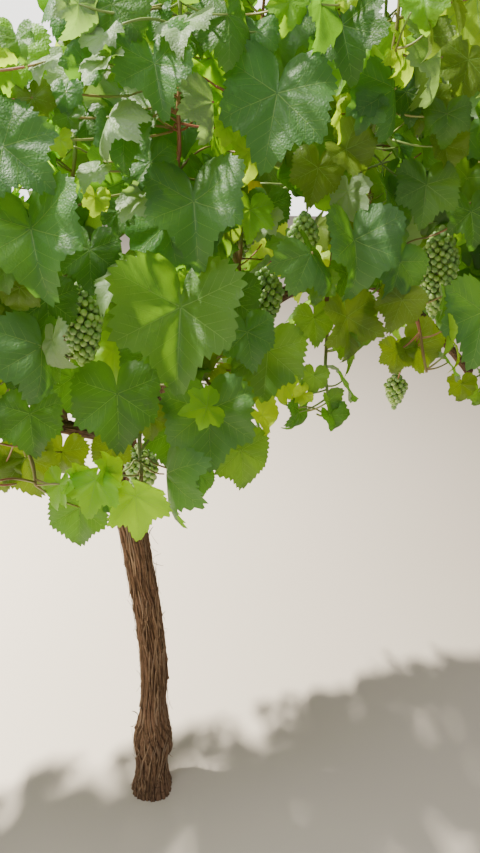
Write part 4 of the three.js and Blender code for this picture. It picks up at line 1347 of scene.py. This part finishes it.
def looseBark():
    # shreds that lie along the trunk, drift round it and stand off at their ends: each a flat ribbon at the
    # skin's radius plus a lift that grows with the third power of the distance from its middle
    rng = np.random.default_rng(5)
    low, high = shreds["endGap"][0], vine["headHeight"] - shreds["endGap"][1]

    def draws(start, end):
        return rng.uniform(start, end, (shreds["count"], 1))

    start = draws(low, high)
    length = np.minimum(draws(*shreds["length"]), vine["headHeight"] - low - start)
    s = np.linspace(0, 1, shreds["steps"])[None]
    turn = draws(0, 1) + rng.normal(0.3, 0.4, (shreds["count"], 1)) * length * (s - 0.5)
    turn = turn + 0.007 * np.sin(s * draws(3, 9) + draws(0, 6))
    z = start + length * s
    curl = shreds["curl"] * draws(0, 1) ** 4 * np.abs(2 * s - 1) ** 3
    lift = shreds["lift"] + curl + draws(0, 0.0015)
    outward = trunkOut(turn)
    paths = trunkCentre(z) + outward * (trunkSkin(turn, z) + lift)[..., None]
    widths = draws(*shreds["width"]) * (0.25 + 0.75 * np.sin(s * math.pi) ** 0.5)
    return ribbons(paths, outward, widths, shreds["thickness"])


def limbMesh(path, radiusAt, look, seed):
    # one limb along a path: the bark's relief on its radius, rounded at its tip and closed at both ends
    path = alongPath(path, look["rings"])
    share = np.linspace(0, 1, look["rings"])[:, None]
    run = share * lengthOf(path)
    turn = np.linspace(0, 1, look["around"], endpoint=False)[None, :]
    height, crevice = barkRelief(turn + run * 0.3, run, look, seed)
    tip = np.clip((1 - share) * run.max() / 0.004, 0, 1) ** 0.5
    radius = (radiusAt(share) + (height - 0.5) * look["depth"]) * tip
    points, faces = tubes(path[None], radius[None], look["around"])
    return points, faces, np.append(crevice, [0, 0])


def armSkin(s):
    # the source's radius, thicker and thinner once for each spur, and wider at the head
    knuckles = 1 + 0.09 * np.cos(2 * math.pi * s * vine["spursPerArm"])
    return armRadiusAt(s) * knuckles + 0.003 * bell(s, 0, 0.03)


def spurSkin(s):
    # a taper with a swelling below its tip and a narrow knob lower down
    return mix(0.0085, 0.0063, s) + 0.002 * bell(s, 0.75, 0.2) + 0.0012 * bell(s, 0.35, 0.06)


points, faces, crevice = trunkMesh()
trunk = makePiece("trunkBark", points, faces, [barkSkins["oldBark"]], slot="bark", crevice=crevice)
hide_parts("trunk")
makePiece("trunkShreds", *looseBark(), [barkSkins["shredBark"]], slot="bark")

for arm in arms:
    path = armPoint(arm, np.linspace(0, 1, 200))
    points, faces, crevice = limbMesh(path, armSkin, bark["arm"], 31 if arm["side"] > 0 else 37)
    limb = makePiece(arm["name"] + "ArmBark", points, faces, [barkSkins["armBark"]], slot="bark",
                     crevice=crevice)
    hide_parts(arm["name"] + "_arm_inner", arm["name"] + "_arm_outer")

for site in sites:
    path = np.linspace(site["root"], site["tip"] + site["lean"] * 0.0003, 20)
    points, faces, crevice = limbMesh(path, spurSkin, bark["spur"], 50 + site["number"])
    name = site["arm"]["name"] + "_spur_" + str(site["number"])
    spur = makePiece(site["arm"]["name"] + "Spur" + str(site["number"]), points, faces,
                     [barkSkins["spurBark"]], slot="spur_wood", crevice=crevice)
    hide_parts(name)
print("trunk, arms and spurs made")


# Shoots, leaf stalks, bunches and leaves

shootLook = {
    "stem": 0.0058,
    "cane": (0.0045, 0.0021),
    "side": (0.0019, 0.0012),
    "node": 0.28,
    "zigzag": 0.0016 * np.array([1.0, 0.4, 0.0]),
    "bow": 0.008,
    "petiole": (0.0017, 0.0012),
    "bunchStalk": (0.0022, 0.0011),
}


def shootMesh(cell):
    # the stem on the spur's tip, shoots with swollen nodes and a slight zigzag, and bowed side shoots
    tip, lean = cell["site"]["tip"], cell["site"]["lean"]
    stem = np.linspace(tip + lean * 0.0003, cell["fork"] + lean * 0.004, 6)
    parts = [tubes(stem[None], np.full(6, shootLook["stem"]), 12)]
    s = np.linspace(0, 1, 90)
    for shoot in cell["shoots"]:
        path = alongPath(shoot["path"], len(s))
        nodes = max(1, round(lengthOf(path) / growth["internode"]))
        swollen = 1 + shootLook["node"] * bell((s * nodes + 0.05) % 1, 0.5, 0.08)
        path = path + np.sin(s * nodes * math.pi)[:, None] * shootLook["zigzag"]
        parts.append(tubes(path[None], mix(*shootLook["cane"], s) * swollen, 10))
    s = np.linspace(0, 1, 8)[:, None]
    for node, end in cell["laterals"]:
        path = mix(node, end, s) + vertical * shootLook["bow"] * np.sin(s * math.pi)
        parts.append(tubes(path[None], mix(*shootLook["side"], s), 6))
    return joined(parts)


def each(leaves, key):
    return np.array([leaf[key] for leaf in leaves])


def stalkMesh(cell):
    # petioles: thin tubes that bow down a little on their way from the shoot to the back of the blade
    nodes, ends = each(cell["leaves"], "node"), each(cell["leaves"], "at")
    sag = each(cell["leaves"], "span")[:, None, None] * 0.06
    s = np.linspace(0, 1, 7)[None, :, None]
    paths = mix(nodes[:, None], ends[:, None], s) - vertical * sag * np.sin(s * math.pi)
    return tubes(paths, np.tile(mix(*shootLook["petiole"], s[..., 0]), (len(nodes), 1)), 6)


def berryTemplate(rings, sides):
    # a ball with a point at each pole
    polar = np.linspace(0, math.pi, rings + 1)[1:-1, None]
    turn = np.linspace(0, 2 * math.pi, sides, endpoint=False)[None]
    out = np.sin(polar)
    ball = np.stack([out * np.cos(turn), out * np.sin(turn), np.cos(polar) + 0 * turn], -1)
    points = np.concatenate([ball.reshape(-1, 3), [[0, 0, 1], [0, 0, -1]]])
    return points, [gridFaces(rings - 1, sides, True)[:, ::-1], endCaps(rings - 1, sides)[:, ::-1]]


fruit = {"berry": 0.0112, "profile": ([0, 0.12, 0.36, 0.7, 1], [0.1, 0.62, 1, 0.72, 0.12]),
         "filling": ((1.0, 1.0), (0.5, 0.35)), "packing": 0.92, "goldenAngle": 2.39996, "sizes": (0.86, 1.0)}


def berryCentres(bunch, seed):
    # a spiral down the cone: equal areas of its surface get one berry each, and a second spiral inside it
    rng = np.random.default_rng(seed)
    h = np.linspace(0, 1, 200)
    r = np.interp(h, *fruit["profile"])
    area = np.cumsum(r)
    surface = math.pi * bunch["width"] * bunch["length"] * r.mean()
    centres = []
    for layer, share in fruit["filling"]:
        count = int(fruit["packing"] * surface / fruit["berry"] ** 2 * share)
        place = np.interp((np.arange(count) + 0.5) / count * area[-1], area, h)
        turn = np.arange(count) * fruit["goldenAngle"] + layer
        out = (np.interp(place, *fruit["profile"]) * bunch["width"] / 2 - fruit["berry"] * 0.5) * layer
        out = np.maximum(out, 0.001) * rng.uniform(0.95, 1.05, count)
        place = np.clip(place + rng.normal(0, 0.006, count), 0, 1)
        down = -place * (bunch["length"] - 0.01) - 0.005
        centres.append(np.stack([out * np.cos(turn), out * np.sin(turn), down], 1))
    centres = np.concatenate(centres)
    return bunch["top"] + centres + rng.normal(0, 0.0005, centres.shape), rng


def bunchMesh(bunches, seed, fineness):
    # every berry is the ball at its own size, in one of the two skins
    ball, faces = berryTemplate(*fineness)
    parts, tones = [], []
    for i, bunch in enumerate(bunches):
        centres, rng = berryCentres(bunch, seed + i)
        size = fruit["berry"] / 2 * rng.uniform(*fruit["sizes"], len(centres))
        parts.append(copies(centres[:, None] + ball * size[:, None, None], faces))
        tones.append(rng.integers(0, 2, len(centres)))
    tones = np.concatenate(tones)
    return *joined(parts), np.concatenate([np.repeat(tones, len(sort)) for sort in faces])


def bunchStalks(bunches):
    # the main stalk of a bunch: from the shoot, over and down its middle
    paths = []
    for b in bunches:
        bend = mix(b["node"], b["top"], 0.6) + vertical * 0.012
        end = b["top"] - vertical * b["length"] * 0.6
        paths.append(alongPath(bezier(b["node"], bend, b["top"], end), 14))
    return tubes(np.array(paths), np.tile(np.linspace(*shootLook["bunchStalk"], 14), (len(paths), 1)), 8)


# Finenesses of blade: for the listed leaves, large and small, for the crown's outer leaves and for
# those behind
blades = {}
for form, shape in bladeForms.items():
    blades["fine", form] = bladeTemplate(shape, 120, [0.1, 0.2, 0.32, 0.44, 0.56, 0.68, 0.79, 0.9, 1], 4)
    blades["small", form] = bladeTemplate(shape, 63, [0.2, 0.4, 0.6, 0.8, 1], 2)
outerShapes, innerShapes = bladeShapes(10, 340), bladeShapes(8, 400)
for i, shape in enumerate(outerShapes):
    blades["outer", i] = bladeTemplate(shape, 63, [0.25, 0.5, 0.76, 1], 3)
for i, shape in enumerate(innerShapes):
    blades["inner", i] = bladeTemplate(shape, 36, [0.4, 0.7, 1], 0)


def toneOf(leaf, random):
    # leaves low and inside are deep or blue-green, young and high ones bright: the deep tone low and inside
    # the crown is painted shade, the bright one high up painted sunlight; young leaves are bright in their
    # own colour
    high = (leaf["at"][2] - 1.0) / 0.7
    young = leaf["span"] < vine["leafSpan"] * 0.62
    inside = max(0, 1 - abs(leaf["at"][1]) / 0.2)
    low = min(1, max(0, (1.15 - leaf["at"][2]) / 0.2))
    # painted shade: low and inside the crown, fewer leaves get the pale, bright and lime tones
    light = 1 - 0.7 * max(inside, low)
    weights = {
        "deep": 0.9 + 2 * inside + 1.2 * low, "mid": 1.6, "blue": 1.4, "olive": 0.7,
        "pale": 0.4 * light, "gold": 0.06,
        "bright": (0.5 + (1.1 if young else 0) + 0.4 * high) * light,
        "lime": (0.15 + (0.7 if young else 0)) * light,
    }
    place = random(0, sum(weights.values()))
    for name, weight in weights.items():
        place -= weight
        if place <= 0:
            return name
    return "deep"


def leafMesh(cell):
    # each template's points turned into every leaf's own frame at once, template by template
    groups = {}
    for i, leaf in enumerate(cell["leaves"]):
        random = seededRandom(cell["seed"] * 3000 + i)
        if "form" in leaf:
            kind = ("fine" if leaf["span"] > 0.058 else "small", leaf["form"])
        elif leaf["at"][1] * cell["face"] > 0.17:
            kind = ("outer", int(random(0, len(outerShapes) - 0.01)))
        else:
            kind = ("inner", int(random(0, len(innerShapes) - 0.01)))
        leaf.setdefault("tone", toneOf(leaf, random))
        groups.setdefault(kind, []).append(leaf)
    parts, quadSlots, triangleSlots = [], [], []
    for kind, leaves in groups.items():
        template = blades[kind]
        axes = np.stack([each(leaves, key) for key in ("across", "up", "normal")], 1)
        turnedPoints = np.einsum("pk,nkj->npj", template["points"], axes)
        points = each(leaves, "at")[:, None] + turnedPoints * each(leaves, "span")[:, None, None]
        parts.append(copies(points, template["faces"]))
        tone = np.array([toneNames.index(leaf["tone"]) for leaf in leaves])[:, None]
        quadSlots.append(np.where(template["isVein"], toneNames.index("vein"), tone).reshape(-1))
        triangleSlots.append(np.repeat(tone, len(template["faces"][1])))
    return *joined(parts), np.concatenate(quadSlots + triangleSlots)


triangleCount = 0
for cell in cells:
    label = cell["name"].replace("foliage_", "").replace("_", "").capitalize()
    points, faces, slots = leafMesh(cell)
    triangleCount += 2 * len(faces[0]) + len(faces[1])
    leaves = makePiece("leaves" + label, points, faces, leafMaterials, slotOf=slots)
    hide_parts(cell["name"])
    makePiece("shoots" + label, *shootMesh(cell), [caneSkin], slot="spur_wood")
    makePiece("stalks" + label, *stalkMesh(cell), [stalkSkin])
    if cell["bunches"]:
        fineness = (7, 10) if cell["face"] < 0 else (5, 8)
        points, faces, slots = bunchMesh(cell["bunches"], cell["seed"], fineness)
        triangleCount += 2 * len(faces[0]) + len(faces[1])
        makePiece("grapes" + label, points, faces, berrySkins, slotOf=slots)
        makePiece("bunchStalks" + label, *bunchStalks(cell["bunches"]), [stalkSkin])
print("foliage made, triangles:", triangleCount)


# Stage

cameraData = bpy.data.cameras.new("camera")
cameraData.sensor_fit = "VERTICAL"
cameraData.angle_y = 2 * math.atan(view["image"][1] / 2 / view["focal"])
cameraData.clip_start = 0.01
camera = bpy.data.objects.new("camera", cameraData)
camera.location = view["place"]
camera.rotation_euler = (math.radians(90 - view["pitch"]), 0, -math.radians(view["turn"]))
bpy.context.scene.collection.objects.link(camera)
bpy.context.scene.camera = camera


floorLook = {"radius": 14, "below": 0.0002, "colour": (0.50, 0.44, 0.37), "roughness": 0.9}


def studioFloor():
    # a plain disc, just under the vine's foot
    mesh = bpy.data.meshes.new("floor")
    turn = np.linspace(0, 2 * math.pi, 64, endpoint=False)
    radius, below = floorLook["radius"], floorLook["below"]
    ring = np.stack([np.cos(turn) * radius, np.sin(turn) * radius, turn * 0 - below], 1)
    mesh.from_pydata(ring.tolist(), [], [list(range(64))])
    floor = bpy.data.objects.new("floor", mesh)
    bpy.context.scene.collection.objects.link(floor)
    material, tree, skin = newMaterial("paleFloor")
    feed(tree, skin, {"Base Color": rgba(*floorLook["colour"]), "Roughness": floorLook["roughness"]})
    mesh.materials.append(material)


def softLight(name, place, target, size, power, colour):
    # a round area light that faces its target
    data = bpy.data.lights.new(name, "AREA")
    data.shape = "DISK"
    data.size = size
    data.energy = power
    data.color = colour
    light = bpy.data.objects.new(name, data)
    light.location = place
    direction = np.array(target) - np.array(place)
    light.rotation_euler = (math.acos(-direction[2] / np.linalg.norm(direction)), 0,
                            math.atan2(direction[0], -direction[1]))
    bpy.context.scene.collection.objects.link(light)


skyLook = {"colour": (1.0, 0.98, 0.93), "strength": (0.6, 3.0)}


def paleWorld():
    # pale light all round, brighter where the camera sees it directly
    world = bpy.data.worlds.new("studio")
    world.use_nodes = True
    tree = world.node_tree
    seen = put(tree, "LightPath").outputs["Is Camera Ray"]
    strength = between(tree, seen, *skyLook["strength"])
    feed(tree, tree.nodes["Background"], {"Color": rgba(*skyLook["colour"]), "Strength": strength})
    bpy.context.scene.world = world


studioFloor()
for name, light in lights.items():
    softLight(name, **light)
paleWorld()
print("stage, camera and lights made")


bpy.context.view_layer.update()
